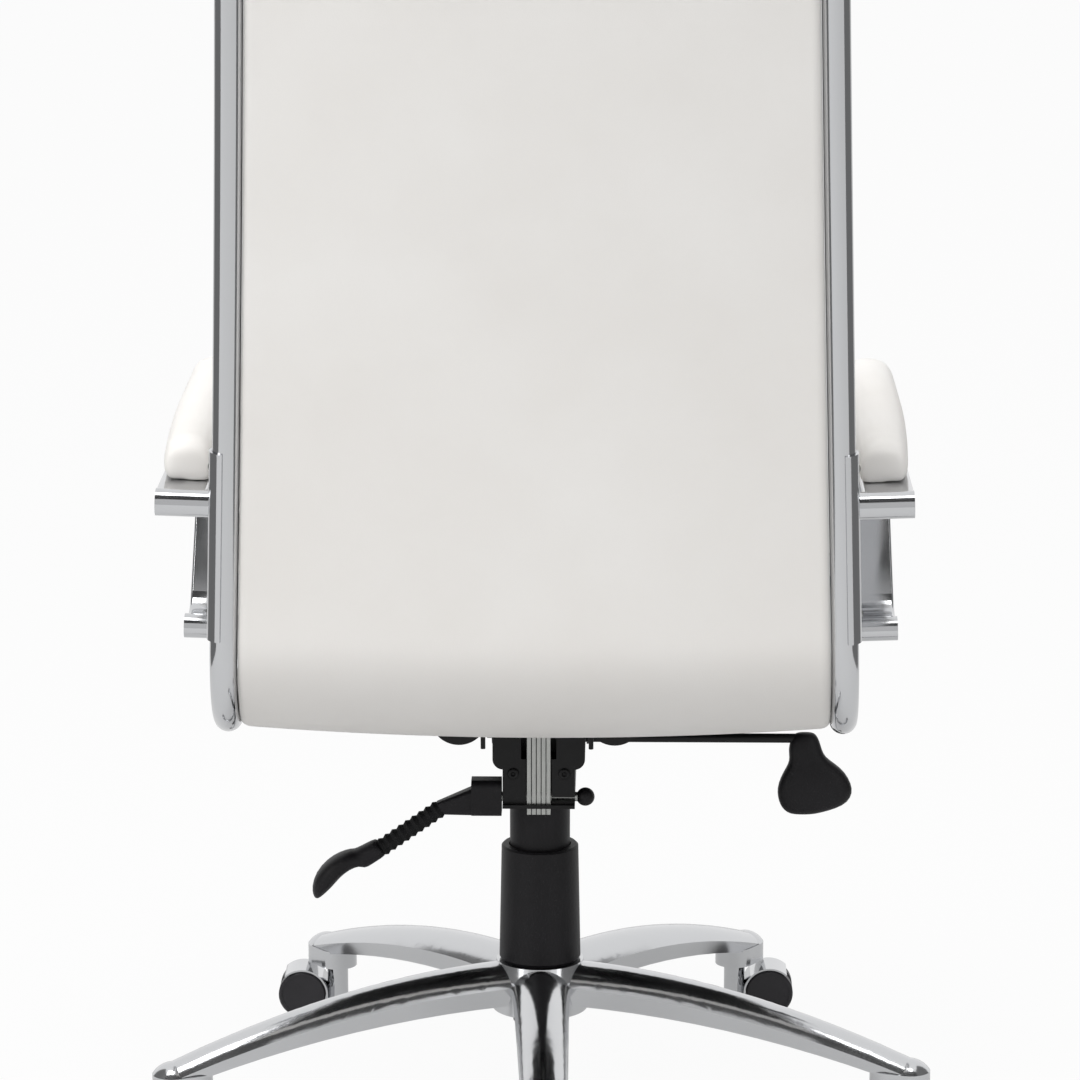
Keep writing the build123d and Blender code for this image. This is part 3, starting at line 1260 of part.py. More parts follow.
def swell(distance, lead, least):
    """Share of the full thickness at a distance from a cushion's end."""
    return least + (1 - least) * min(1.0, distance / lead) ** 0.5


def channel_stations(first, last, count, thick, leads, ends):
    """Runs and thicknesses of a cushion with sewn channels across it, thinner at both ends."""
    pitch = (last - first) / count
    marks = [(0, 0.0), (0.04, 0.0)]
    for channel in range(count):
        for share, sink in ((0.14, 0.35), (0.35, 0.04), (0.65, 0.04), (0.86, 0.35)):
            marks.append((channel + share, sink))
        if channel < count - 1:
            marks.append((channel + 1, 1.0))
    marks += [(count - 0.04, 0.0), (count, 0.0)]
    stations = []
    for mark, sink in marks:
        near = swell(mark * pitch, leads[0], ends[0])
        far = swell((count - mark) * pitch, leads[1], ends[1])
        stations.append((first + mark * pitch, thick * near * far - sink * CHANNEL_DEPTH))
    return stations


CREASE_RUN = BEND_LENGTH / 2
CREASE_HALF = BEND_R * radians(CREASE / 2)
SEAT_STATIONS = channel_stations(
    LINE_FRONT - SEAT_OVERHANG,
    CREASE_RUN - CREASE_HALF,
    SEAT_CHANNELS,
    SEAT_PAD,
    (SEAT_FRONT_LEAD, SEAT_REAR_LEAD),
    (0.45, 0.5),
)
with BuildPart() as seat_cushion:
    for run, thick in SEAT_STATIONS:
        with BuildSketch(cross_plane(run)):
            with BuildLine():
                cushion_outline(panel_half(run), thick)
            make_face()
    loft(ruled=True)
save(seat_cushion, "seat_cushion")

BACK_STATIONS = channel_stations(
    CREASE_RUN + CREASE_HALF,
    LINE_TOP + BACK_OVERHANG,
    BACK_CHANNELS,
    BACK_PAD,
    (BACK_FOOT_LEAD, BACK_TOP_LEAD),
    (0.5, 0.3),
)
with BuildPart() as back_cushion:
    for run, thick in BACK_STATIONS:
        with BuildSketch(cross_plane(run)):
            with BuildLine():
                cushion_outline(panel_half(run), thick)
            make_face()
    loft(ruled=True)
save(back_cushion, "back_cushion")


# Arms: chrome strap, round knuckles, bracket along the rail, padded top

BRACKET_R = RAIL_R + BRACKET_GAP + BRACKET_THICK
KNUCKLE_Z = ARM_REAR_Z - KNUCKLE_DROP
with BuildPart() as arm_frame_left:
    strap_points = (
        (ARM_REAR_Y, ARM_REAR_Z),
        (ARM_FRONT_Y, ARM_FRONT_Z),
        (ARM_HEEL_Y, ARM_HEEL_Z),
        (ARM_FOOT_Y, ARM_FOOT_Z),
    )
    with BuildLine(ARM):
        FilletPolyline(*(on_side(point) for point in strap_points), radius=(ARM_FRONT_R, ARM_HEEL_R))
    strap_start = ARM.from_local_coords(Vector(*on_side(strap_points[0])))
    strap_next = ARM.from_local_coords(Vector(*on_side(strap_points[1])))
    with BuildSketch(Plane(origin=strap_start, x_dir=ARM.z_dir, z_dir=strap_next - strap_start)):
        RectangleRounded(STRAP_WIDE, STRAP_THICK, STRAP_EDGE)
    sweep()
    knuckle_start = BRACKET_R + SEAT_FIT
    with BuildSketch(SIDE.offset(knuckle_start)):
        with Locations(on_side((ARM_REAR_Y, KNUCKLE_Z))):
            Circle(KNUCKLE_R)
    extrude(amount=ARM_OUT + STRAP_WIDE / 2 - knuckle_start)
    with BuildSketch(SIDE.offset(RAIL_R + BRACKET_GAP)):
        with Locations(on_side((ARM_FOOT_Y, ARM_FOOT_Z))):
            Circle(FOOT_KNUCKLE_R)
    extrude(amount=ARM_OUT + STRAP_WIDE / 2 - RAIL_R - BRACKET_GAP)
save(arm_frame_left, "arm_frame_left")

with BuildPart() as arm_frame_right:
    mirror(arm_frame_left.part, about=Plane.YZ)
save(arm_frame_right, "arm_frame_right")

with BuildPart() as arm_brackets:
    knuckle_run = back_run(KNUCKLE_Z)
    with BuildSketch(SIDE.offset(BRACKET_R - BRACKET_LUG)):
        with BuildLine():
            lug_rear = line_point(knuckle_run)[0]
            Line(on_side((ARM_REAR_Y, KNUCKLE_Z - KNUCKLE_R)), on_side((lug_rear, KNUCKLE_Z - KNUCKLE_R)))
            Line(on_side((lug_rear, KNUCKLE_Z - KNUCKLE_R)), on_side((lug_rear, KNUCKLE_Z + KNUCKLE_R)))
            Line(on_side((lug_rear, KNUCKLE_Z + KNUCKLE_R)), on_side((ARM_REAR_Y, KNUCKLE_Z + KNUCKLE_R)))
            CenterArc(on_side((ARM_REAR_Y, KNUCKLE_Z)), KNUCKLE_R, 90, 180)
        make_face()
    extrude(amount=BRACKET_LUG)
    with BuildSketch(rail_plane(knuckle_run).offset(-2 * KNUCKLE_R)):
        Circle(BRACKET_R - BRACKET_THICK / 2)
    extrude(amount=4 * KNUCKLE_R, mode=Mode.SUBTRACT)
    bracket_low, bracket_high = back_run(BRACKET_LOW_Z), back_run(BRACKET_HIGH_Z)
    with BuildLine(SIDE):
        bracket_runs = (bracket_low, (bracket_low + bracket_high) / 2, bracket_high)
        ThreePointArc(*(on_side(line_point(run)) for run in bracket_runs))
    with BuildSketch(rail_plane(bracket_low)):
        with BuildLine():
            outer = CenterArc((0, 0), BRACKET_R, BRACKET_FROM, BRACKET_TO - BRACKET_FROM)
            inner = CenterArc((0, 0), RAIL_R + BRACKET_GAP, BRACKET_FROM, BRACKET_TO - BRACKET_FROM)
            Line(outer @ 0, inner @ 0)
            Line(outer @ 1, inner @ 1)
        make_face()
    sweep()
    for height in (ARM_SCREW_LOW_Z, ARM_SCREW_HIGH_Z):
        with BuildSketch(arm_screw_plane(height)):
            Circle(ARM_SCREW_R + SEAT_FIT)
        extrude(amount=2 * BRACKET_R, mode=Mode.SUBTRACT)
    mirror(about=Plane.YZ)
save(arm_brackets, "arm_brackets")

with BuildPart() as arm_screws:
    for height in (ARM_SCREW_LOW_Z, ARM_SCREW_HIGH_Z):
        with BuildSketch(arm_screw_plane(height).offset(BRACKET_R + SEAT_FIT)):
            Circle(ARM_SCREW_HEAD_R)
        extrude(amount=ARM_SCREW_HEAD)
        with BuildSketch(arm_screw_plane(height).offset(RAIL_R / 2)):
            Circle(ARM_SCREW_R)
        extrude(amount=BRACKET_R + SEAT_FIT - RAIL_R / 2)
        with BuildSketch(arm_screw_plane(height).offset(BRACKET_R + ARM_SCREW_HEAD / 2)):
            RegularPolygon(ARM_SCREW_HEAD_R / 2, 6)
        extrude(amount=ARM_SCREW_HEAD, mode=Mode.SUBTRACT)
    mirror(about=Plane.YZ)
save(arm_screws, "arm_screws")

strap_rise = (ARM_FRONT_Z - ARM_REAR_Z) / (ARM_FRONT_Y - ARM_REAR_Y)
with BuildPart() as arm_pad_left:
    pad_shape = ((0, 0.62, 0.78), (0.015, 0.86, 0.92), (0.06, 0.96, 0.98), (0.3, 1, 1))
    pad_shape += ((0.75, 1, 1), (0.9, 0.92, 0.95), (0.97, 0.65, 0.8), (1, 0.25, 0.5))
    for share, tall, wide in pad_shape:
        pad_y = blend(PAD_REAR_Y, PAD_FRONT_Y, share)
        strap_top = ARM_REAR_Z + (pad_y - ARM_REAR_Y) * strap_rise + STRAP_THICK / 2 + SOFT_GAP
        pad_origin = ARM.offset(-PAD_INSET).from_local_coords(Vector(*on_side((pad_y, strap_top))))
        height, half = PAD_TALL * tall, PAD_HALF * wide
        with BuildSketch(Plane(origin=pad_origin, x_dir=ARM.z_dir, z_dir=(0, -1, 0))):
            with BuildLine():
                foot, brow = 0.86 * half, 0.75 * half
                Line((-foot, 0), (foot, 0))
                ThreePointArc((foot, 0), (half, 0.4 * height), (brow, 0.85 * height))
                ThreePointArc((brow, 0.85 * height), (0, height), (-brow, 0.85 * height))
                ThreePointArc((-brow, 0.85 * height), (-half, 0.4 * height), (-foot, 0))
            make_face()
    loft(ruled=True)
save(arm_pad_left, "arm_pad_left")

with BuildPart() as arm_pad_right:
    mirror(arm_pad_left.part, about=Plane.YZ)
save(arm_pad_right, "arm_pad_right")
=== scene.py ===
# %% [markdown]
# # A high-backed swivel chair, dressed for a studio picture
# The solid parts of this chair come from a CAD model: the star base, the gas lift, the tilt
# mechanism, the bent rails and the arm straps. This lesson gives them their finishes, sews the
# upholstery that replaces the plain soft solids, and puts the whole chair under studio light.

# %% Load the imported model
import json
from math import atan2, copysign, cos, hypot, pi, radians, sin, tan

import bmesh
import bpy
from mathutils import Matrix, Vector
from mathutils.bvhtree import BVHTree


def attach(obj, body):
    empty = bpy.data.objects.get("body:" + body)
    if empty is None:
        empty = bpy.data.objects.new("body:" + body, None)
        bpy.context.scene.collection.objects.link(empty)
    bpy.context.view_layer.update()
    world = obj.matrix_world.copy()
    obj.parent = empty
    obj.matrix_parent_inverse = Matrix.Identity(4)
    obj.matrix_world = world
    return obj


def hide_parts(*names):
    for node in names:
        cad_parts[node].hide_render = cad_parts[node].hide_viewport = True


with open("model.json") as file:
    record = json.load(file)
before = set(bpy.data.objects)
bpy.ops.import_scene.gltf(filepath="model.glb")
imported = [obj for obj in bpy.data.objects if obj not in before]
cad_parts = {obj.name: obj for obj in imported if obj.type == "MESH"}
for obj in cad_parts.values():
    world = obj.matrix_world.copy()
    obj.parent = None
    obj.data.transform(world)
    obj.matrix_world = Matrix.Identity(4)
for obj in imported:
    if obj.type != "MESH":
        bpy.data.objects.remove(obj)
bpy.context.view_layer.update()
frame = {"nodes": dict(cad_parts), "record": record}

nodes = frame["nodes"]
scene = bpy.context.scene
scene.view_settings.view_transform = "Standard"
MM = 0.001

# %% [markdown]
# ## The camera
# The picture is taken from straight behind the chair with a long lens, a little above the seat.
# A long lens keeps the near and the far legs close to one size. The numbers come from lining up
# the base, the rails and the arms of the model with the picture.

# %% Camera
CAMERA_DISTANCE = 3.8
CAMERA_HEIGHT = 1.336
CAMERA_PITCH = 12.4
CAMERA_TURN = 1.0
FOCAL_PIXELS = 4594
IMAGE_PIXELS = 1080
SENSOR_MM = 36

camera_data = bpy.data.cameras.new("picture_camera")
camera_data.sensor_width = SENSOR_MM
camera_data.lens = FOCAL_PIXELS / IMAGE_PIXELS * SENSOR_MM
camera = bpy.data.objects.new("picture_camera", camera_data)
turn = radians(CAMERA_TURN)
camera.location = (-CAMERA_DISTANCE * sin(turn), CAMERA_DISTANCE * cos(turn), CAMERA_HEIGHT)
camera.rotation_euler = (radians(90 - CAMERA_PITCH), 0, pi + turn)
scene.collection.objects.link(camera)
scene.camera = camera
print("lens:", round(camera_data.lens, 1), "mm")

# %% [markdown]
# ## Colours and nodes
# Colours are written as the hex values one would pick on a screen. Blender's shaders work with
# linear light, so one function converts them. A second small function adds a shader node, sets
# its values and links its inputs, which keeps each finish readable.

# %% Helpers for finishes


def linear(hex_code):
    """Linear RGBA of an sRGB hex colour."""
    channels = [int(hex_code[i : i + 2], 16) / 255 for i in (1, 3, 5)]
    return [c / 12.92 if c <= 0.04045 else ((c + 0.055) / 1.055) ** 2.4 for c in channels] + [1.0]


def add_node(tree, kind, inputs=None, **settings):
    """Add a node, set its properties, and set or link its inputs."""
    node = tree.nodes.new(kind)
    for name, value in settings.items():
        setattr(node, name, value)
    for key, value in (inputs or {}).items():
        if isinstance(value, bpy.types.NodeSocket):
            tree.links.new(value, node.inputs[key])
        else:
            node.inputs[key].default_value = value
    return node


def empty_finish(name):
    """A material without nodes, and its node tree."""
    finish = bpy.data.materials.new(name)
    finish.use_nodes = True
    finish.node_tree.nodes.clear()
    return finish, finish.node_tree


def new_finish(name):
    """A material with its tree, its shader and its Object coordinates."""
    finish, tree = empty_finish(name)
    shader = add_node(tree, "ShaderNodeBsdfPrincipled")
    add_node(tree, "ShaderNodeOutputMaterial", {"Surface": shader.outputs["BSDF"]})
    place = add_node(tree, "ShaderNodeTexCoord").outputs["Object"]
    return finish, tree, shader, place


print("middle grey in linear light:", [round(c, 3) for c in linear("#808080")[:3]])

# %% [markdown]
# ## Chrome plate and polished aluminium
# The rails and the arms are plated steel, polished like a mirror. The star base is an aluminium
# casting, which polishing leaves a little softer. Such metal gets nearly all its looks from what it
# reflects, so the colour stays a pale grey and the roughness low. A faint, broad change in
# roughness stands for handling, and a very weak bump for the slight waviness that polishing leaves.

# %% Bright metal finishes
METAL_TINT = "#cccdcf"
HAZE_PER_METRE = 18.0  # patches of about 55 mm
WAVES_PER_METRE = 9.0  # polishing waves of about 110 mm


def bright_metal_finish(name, clearest, haziest):
    """A mirror metal whose roughness wanders between two values."""
    finish, tree, shader, place = new_finish(name)
    haze = add_node(
        tree, "ShaderNodeTexNoise", {"Vector": place, "Scale": HAZE_PER_METRE, "Detail": 3.0}
    )
    rough = add_node(
        tree,
        "ShaderNodeMapRange",
        {
            "Value": haze.outputs["Fac"],
            "From Min": 0.35,
            "From Max": 0.7,
            "To Min": clearest,
            "To Max": haziest,
        },
    )
    wave = add_node(
        tree, "ShaderNodeTexNoise", {"Vector": place, "Scale": WAVES_PER_METRE, "Detail": 1.0}
    )
    bump = add_node(
        tree,
        "ShaderNodeBump",
        {"Height": wave.outputs["Fac"], "Strength": 0.02, "Distance": 2 * MM},
    )
    shader.inputs["Base Color"].default_value = linear(METAL_TINT)
    shader.inputs["Metallic"].default_value = 1.0
    tree.links.new(rough.outputs["Result"], shader.inputs["Roughness"])
    tree.links.new(bump.outputs["Normal"], shader.inputs["Normal"])
    return finish


CHROME = bright_metal_finish("mirror_chrome_plate", clearest=0.07, haziest=0.12)
CASTING = bright_metal_finish("polished_cast_aluminium", clearest=0.13, haziest=0.19)
print("made", CHROME.name, CASTING.name)

# %% [markdown]
# ## Zinc plate
# Pins, screws, plates and shafts are zinc plated steel. It is greyer than chrome, and the rolled
# sheet under the plating leaves fine lines. A noise that is stretched along one axis draws them, in
# the colour and in the roughness alike.

# %% Zinc plate
ROLLING_LINES = (900.0, 60.0, 60.0)  # per metre: lines about 1 mm apart and 17 mm long


def zinc_finish():
    """Grey satin metal with fine parallel lines."""
    finish, tree, shader, place = new_finish("zinc_plated_steel")
    stretched = add_node(tree, "ShaderNodeMapping", {"Vector": place, "Scale": ROLLING_LINES})
    lines = add_node(
        tree,
        "ShaderNodeTexNoise",
        {"Vector": stretched.outputs["Vector"], "Scale": 1.0, "Detail": 4.0},
    )
    tint = add_node(tree, "ShaderNodeValToRGB", {"Fac": lines.outputs["Fac"]})
    tint.color_ramp.elements[0].color = linear("#8d8f8e")
    tint.color_ramp.elements[1].color = linear("#c4c5c1")
    rough = add_node(
        tree,
        "ShaderNodeMapRange",
        {
            "Value": lines.outputs["Fac"],
            "From Min": 0.3,
            "From Max": 0.7,
            "To Min": 0.24,
            "To Max": 0.42,
        },
    )
    tree.links.new(tint.outputs["Color"], shader.inputs["Base Color"])
    tree.links.new(rough.outputs["Result"], shader.inputs["Roughness"])
    shader.inputs["Metallic"].default_value = 1.0
    return finish


ZINC = zinc_finish()
print("made", ZINC.name)

# %% [markdown]
# ## Black powder coat
# The housing and the seat plate are powder coated: dry paint is sprayed on and baked. It leaves a
# satin skin with a fine orange peel of about a millimetre, which a weak bump gives.

# %% Powder coat
PEEL_MM = 1.4
DUST_PER_METRE = 35.0  # patches of about 30 mm


def powder_finish():
    """Black satin paint with a fine orange peel and a trace of dust."""
    finish, tree, shader, place = new_finish("black_powder_coat")
    peel = add_node(
        tree, "ShaderNodeTexNoise", {"Vector": place, "Scale": 1 / (PEEL_MM * MM), "Detail": 2.0}
    )
    dust = add_node(
        tree, "ShaderNodeTexNoise", {"Vector": place, "Scale": DUST_PER_METRE, "Detail": 4.0}
    )
    tint = add_node(tree, "ShaderNodeValToRGB", {"Fac": dust.outputs["Fac"]})
    tint.color_ramp.elements[0].color = linear("#0d0d0e")
    tint.color_ramp.elements[1].color = linear("#171718")
    bump = add_node(
        tree,
        "ShaderNodeBump",
        {"Height": peel.outputs["Fac"], "Strength": 0.25, "Distance": 0.3 * MM},
    )
    tree.links.new(tint.outputs["Color"], shader.inputs["Base Color"])
    tree.links.new(bump.outputs["Normal"], shader.inputs["Normal"])
    shader.inputs["Roughness"].default_value = 0.42
    shader.inputs["Specular IOR Level"].default_value = 0.25
    return finish


POWDER = powder_finish()
print("made", POWDER.name)

# %% [markdown]
# ## Moulded plastic and rubber
# The lift covers, the levers and the wheels are moulded in dark nylon. Moulds are spark eroded,
# which gives a fine even grain: it is drawn here at about a millimetre, coarser than life, so
# that it shows at all. The wheels are a little greyer and smoother, and the bellows are rubber.

# %% Plastics and rubber
CLOUD_PER_METRE = 22.0  # patches of about 45 mm
ROUGHNESS_SWING = 0.06


def moulded_finish(name, low, high, grain_mm, roughness, relief, gloss):
    """Moulded plastic or rubber with a spark-eroded grain."""
    finish, tree, shader, place = new_finish(name)
    grain = add_node(
        tree, "ShaderNodeTexVoronoi", {"Vector": place, "Scale": 1 / (grain_mm * MM)}, feature="F1"
    )
    cloud = add_node(
        tree, "ShaderNodeTexNoise", {"Vector": place, "Scale": CLOUD_PER_METRE, "Detail": 5.0}
    )
    tint = add_node(tree, "ShaderNodeValToRGB", {"Fac": cloud.outputs["Fac"]})
    tint.color_ramp.elements[0].position = 0.3
    tint.color_ramp.elements[0].color = linear(low)
    tint.color_ramp.elements[1].position = 0.75
    tint.color_ramp.elements[1].color = linear(high)
    rough = add_node(
        tree,
        "ShaderNodeMapRange",
        {
            "Value": cloud.outputs["Fac"],
            "To Min": roughness - ROUGHNESS_SWING,
            "To Max": roughness + ROUGHNESS_SWING,
        },
    )
    bump = add_node(
        tree,
        "ShaderNodeBump",
        {"Height": grain.outputs["Distance"], "Strength": relief, "Distance": 0.25 * MM},
    )
    tree.links.new(tint.outputs["Color"], shader.inputs["Base Color"])
    tree.links.new(rough.outputs["Result"], shader.inputs["Roughness"])
    tree.links.new(bump.outputs["Normal"], shader.inputs["Normal"])
    shader.inputs["Specular IOR Level"].default_value = gloss
    return finish


# The numbers are the grain in millimetres, the roughness, the relief of the grain and the gloss.
NYLON = moulded_finish("dark_moulded_nylon", "#171618", "#1f1e21", 1.1, 0.46, 0.35, 0.22)
WHEEL = moulded_finish("grey_wheel_nylon", "#2b2a2d", "#39373b", 1.4, 0.38, 0.15, 0.35)
RUBBER = moulded_finish("bellows_rubber", "#121213", "#1c1c1d", 0.9, 0.66, 0.4, 0.2)
ACETAL = moulded_finish("pale_acetal", "#b9b8b2", "#cfcec8", 1.5, 0.4, 0.1, 0.5)
print("made", NYLON.name, WHEEL.name, RUBBER.name, ACETAL.name)

# %% [markdown]
# ## White leather
# The upholstery is smooth coated leather in a warm white. Its pebble is 1 to 2 mm across and
# shallow. Cells whose edges are bent by a fine noise make the creases between the pebbles, a broad
# weak bump gives the slack of stretched leather, and a slow cloud of colour keeps the large back
# panel from looking like paint.

# %% Leather
PEBBLE_MM = 1.7
CREASE_WIDTH = 0.28  # share of a pebble
WARPS_PER_METRE = 240.0  # bends of about 4 mm in the pebbles' edges
WARP_REACH = 1.2 * MM
SLACK_PER_METRE = 14.0  # waves of about 70 mm
TINTS_PER_METRE = 5.0  # clouds of about 200 mm


def leather_finish():
    """White leather with a shallow pebble, slack and a slow cloud of colour."""
    finish, tree, shader, place = new_finish("white_coated_leather")
    warp = add_node(
        tree, "ShaderNodeTexNoise", {"Vector": place, "Scale": WARPS_PER_METRE, "Detail": 2.0}
    )
    shifted = add_node(
        tree,
        "ShaderNodeVectorMath",
        {0: warp.outputs["Color"], 1: (WARP_REACH,) * 3, 2: place},
        operation="MULTIPLY_ADD",
    )
    pebble = add_node(
        tree,
        "ShaderNodeTexVoronoi",
        {"Vector": shifted.outputs["Vector"], "Scale": 1 / (PEBBLE_MM * MM)},
        feature="DISTANCE_TO_EDGE",
    )
    crease = add_node(
        tree,
        "ShaderNodeMapRange",
        {"Value": pebble.outputs["Distance"], "From Max": CREASE_WIDTH},
        interpolation_type="SMOOTHSTEP",
    )
    slack = add_node(
        tree, "ShaderNodeTexNoise", {"Vector": place, "Scale": SLACK_PER_METRE, "Detail": 3.0}
    )
    fine = add_node(
        tree,
        "ShaderNodeBump",
        {"Height": crease.outputs["Result"], "Strength": 0.1, "Distance": 0.2 * MM},
    )
    broad = add_node(
        tree,
        "ShaderNodeBump",
        {
            "Height": slack.outputs["Fac"],
            "Strength": 0.12,
            "Distance": 3 * MM,
            "Normal": fine.outputs["Normal"],
        },
    )
    cloud = add_node(
        tree, "ShaderNodeTexNoise", {"Vector": place, "Scale": TINTS_PER_METRE, "Detail": 4.0}
    )
    tint = add_node(tree, "ShaderNodeValToRGB", {"Fac": cloud.outputs["Fac"]})
    tint.color_ramp.elements[0].position = 0.3
    tint.color_ramp.elements[0].color = linear("#e4e1dd")
    tint.color_ramp.elements[1].position = 0.7
    tint.color_ramp.elements[1].color = linear("#eae8e5")
    rough = add_node(
        tree,
        "ShaderNodeMapRange",
        {"Value": crease.outputs["Result"], "To Min": 0.56, "To Max": 0.44},
    )
    tree.links.new(tint.outputs["Color"], shader.inputs["Base Color"])
    tree.links.new(rough.outputs["Result"], shader.inputs["Roughness"])
    tree.links.new(broad.outputs["Normal"], shader.inputs["Normal"])
    shader.inputs["IOR"].default_value = 1.48
    return finish


LEATHER = leather_finish()
print("made", LEATHER.name)

# %% [markdown]
# ## Dust cloth, thread and plywood
# Three small finishes belong to the upholstery. The underside is closed with a coarse black cloth,
# the seams are sewn with white polyester thread, which has a soft sheen, and the shell between the
# cushions and the panel is bent plywood, stained dark on its edges.

# %% Dust cloth
THREAD_SCALE = 260.0  # a thread about every millimetre


def dust_cloth_finish():
    """Black cloth woven from two crossing waves."""
    finish, tree, shader, place = new_finish("black_dust_cloth")
    threads = {"Vector": place, "Scale": THREAD_SCALE, "Distortion": 1.5}
    warp = add_node(tree, "ShaderNodeTexWave", threads, bands_direction="X")
    weft = add_node(tree, "ShaderNodeTexWave", threads, bands_direction="Y")
    knit = add_node(
        tree,
        "ShaderNodeMath",
        {0: warp.outputs["Fac"], 1: weft.outputs["Fac"]},
        operation="MULTIPLY",
    )
    tint = add_node(tree, "ShaderNodeValToRGB", {"Fac": knit.outputs["Value"]})
    tint.color_ramp.elements[0].color = linear("#131314")
    tint.color_ramp.elements[1].color = linear("#242425")
    bump = add_node(
        tree,
        "ShaderNodeBump",
        {"Height": knit.outputs["Value"], "Strength": 0.4, "Distance": 0.3 * MM},
    )
    tree.links.new(tint.outputs["Color"], shader.inputs["Base Color"])
    tree.links.new(bump.outputs["Normal"], shader.inputs["Normal"])
    shader.inputs["Roughness"].default_value = 0.9
    return finish


DUST_CLOTH = dust_cloth_finish()
print("made", DUST_CLOTH.name)

# %% Thread and plywood
TWIST_MM = 1.2
WOOD_GRAIN = (6.0, 120.0, 120.0)  # per metre: streaks about 8 mm apart and 170 mm long


def thread_finish():
    """Off-white thread with a soft sheen."""
    finish, tree, shader, place = new_finish("white_polyester_thread")
    twist = add_node(
        tree, "ShaderNodeTexNoise", {"Vector": place, "Scale": 1 / (TWIST_MM * MM), "Detail": 1.0}
    )
    tint = add_node(tree, "ShaderNodeValToRGB", {"Fac": twist.outputs["Fac"]})
    tint.color_ramp.elements[0].color = linear("#cfcbc5")
    tint.color_ramp.elements[1].color = linear("#e6e3de")
    tree.links.new(tint.outputs["Color"], shader.inputs["Base Color"])
    shader.inputs["Roughness"].default_value = 0.6
    shader.inputs["Sheen Weight"].default_value = 0.3
    return finish


def plywood_finish():
    """Dark stained wood with a grain along X."""
    finish, tree, shader, place = new_finish("stained_plywood")
    grain = add_node(tree, "ShaderNodeMapping", {"Vector": place, "Scale": WOOD_GRAIN})
    rings = add_node(
        tree,
        "ShaderNodeTexNoise",
        {"Vector": grain.outputs["Vector"], "Scale": 1.0, "Detail": 5.0},
    )
    tint = add_node(tree, "ShaderNodeValToRGB", {"Fac": rings.outputs["Fac"]})
    tint.color_ramp.elements[0].color = linear("#1f1813")
    tint.color_ramp.elements[1].color = linear("#3a2d22")
    tree.links.new(tint.outputs["Color"], shader.inputs["Base Color"])
    shader.inputs["Roughness"].default_value = 0.6
    return finish


THREAD = thread_finish()
PLYWOOD = plywood_finish()
print("made", THREAD.name, PLYWOOD.name)

# %% [markdown]
# ## Finishes on the CAD parts
# The record names a material slot for each CAD node. One table turns slots into finishes. The base
# is the one exception: its slot is chrome, and its cast metal is a little softer to look at.

# %% Dress the CAD parts
SLOT_FINISH = {
    "chrome": CHROME,
    "steel": ZINC,
    "black_paint": POWDER,
    "dark_plastic": NYLON,
    "bellows_rubber": RUBBER,
    "pale_plastic": ACETAL,
    "wheel_plastic": WHEEL,
    "white_leather": LEATHER,
    "plywood": PLYWOOD,
}
for entry in frame["record"]["subparts"]:
    part = nodes[entry["node"]]
    part.data.materials.clear()
    part.data.materials.append(SLOT_FINISH[entry["material_slot"]])
nodes["star_base"].data.materials[0] = CASTING

# %% [markdown]
# ## The seat and back line
# Seat and back hang on two bent tubes, and every layer of the upholstery follows the same line:
# straight under the seat, round a bend, then a long slow curve up the back. A point on the chair
# is given by how far it runs along that line and how far it lies outwards from it. The values
# repeat those of the CAD model, in metres.

# %% The line
SEAT_HEADING = radians(-5.0)
SEAT_FRONT = -0.235
BEND_CENTRE = (0.186, 0.4833)
BEND_R = 0.088
BEND_MARGIN = 0.02  # how far above its centre the bend may still claim a point
BACK_LOW = radians(87.0)
BACK_TOP = radians(77.0)
BACK_R = 3.4
BEND_LENGTH = BEND_R * (BACK_LOW - SEAT_HEADING)
LINE_TOP = BEND_LENGTH + BACK_R * (BACK_LOW - BACK_TOP)
BEND_START = (
    BEND_CENTRE[0] + BEND_R * sin(SEAT_HEADING),
    BEND_CENTRE[1] - BEND_R * cos(SEAT_HEADING),
)
BEND_END = (BEND_CENTRE[0] + BEND_R * sin(BACK_LOW), BEND_CENTRE[1] - BEND_R * cos(BACK_LOW))
BACK_CENTRE = (BEND_END[0] + BACK_R * sin(BACK_LOW), BEND_END[1] - BACK_R * cos(BACK_LOW))
LINE_FRONT = (SEAT_FRONT - BEND_START[0]) / cos(SEAT_HEADING)


def heading_at(run):
    """Heading of the line above level, in radians."""
    if run <= 0:
        return SEAT_HEADING
    if run <= BEND_LENGTH:
        return SEAT_HEADING + run / BEND_R
    return BACK_LOW - (run - BEND_LENGTH) / BACK_R


def at_line(x, run, outwards):
    """Point of the chair at a run along the line and a distance outwards from it."""
    heading = heading_at(run)
    side = (sin(heading), -cos(heading))
    if run <= 0:
        y = BEND_START[0] + run * cos(heading)
        z = BEND_START[1] + run * sin(heading)
    elif run <= BEND_LENGTH:
        y = BEND_CENTRE[0] + BEND_R * side[0]
        z = BEND_CENTRE[1] + BEND_R * side[1]
    else:
        y = BACK_CENTRE[0] - BACK_R * side[0]
        z = BACK_CENTRE[1] - BACK_R * side[1]
    return Vector((x, y + outwards * side[0], z + outwards * side[1]))


def from_line(point):
    """Run and distance outwards of a point: the reverse of at_line."""
    along = Vector((cos(SEAT_HEADING), sin(SEAT_HEADING)))
    reach = Vector((point.y - BEND_START[0], point.z - BEND_START[1]))
    if reach.dot(along) <= 0:
        return reach.dot(along), reach.dot(Vector((along.y, -along.x)))
    spoke = Vector((point.y - BEND_CENTRE[0], point.z - BEND_CENTRE[1]))
    heading = atan2(spoke.x, -spoke.y)
    if heading <= BACK_LOW and point.z < BEND_CENTRE[1] + BEND_MARGIN:
        return BEND_R * (heading - SEAT_HEADING), spoke.length - BEND_R
    spoke = Vector((BACK_CENTRE[0] - point.y, BACK_CENTRE[1] - point.z))
    heading = atan2(spoke.x, -spoke.y)
    return BEND_LENGTH + BACK_R * (BACK_LOW - heading), BACK_R - spoke.length


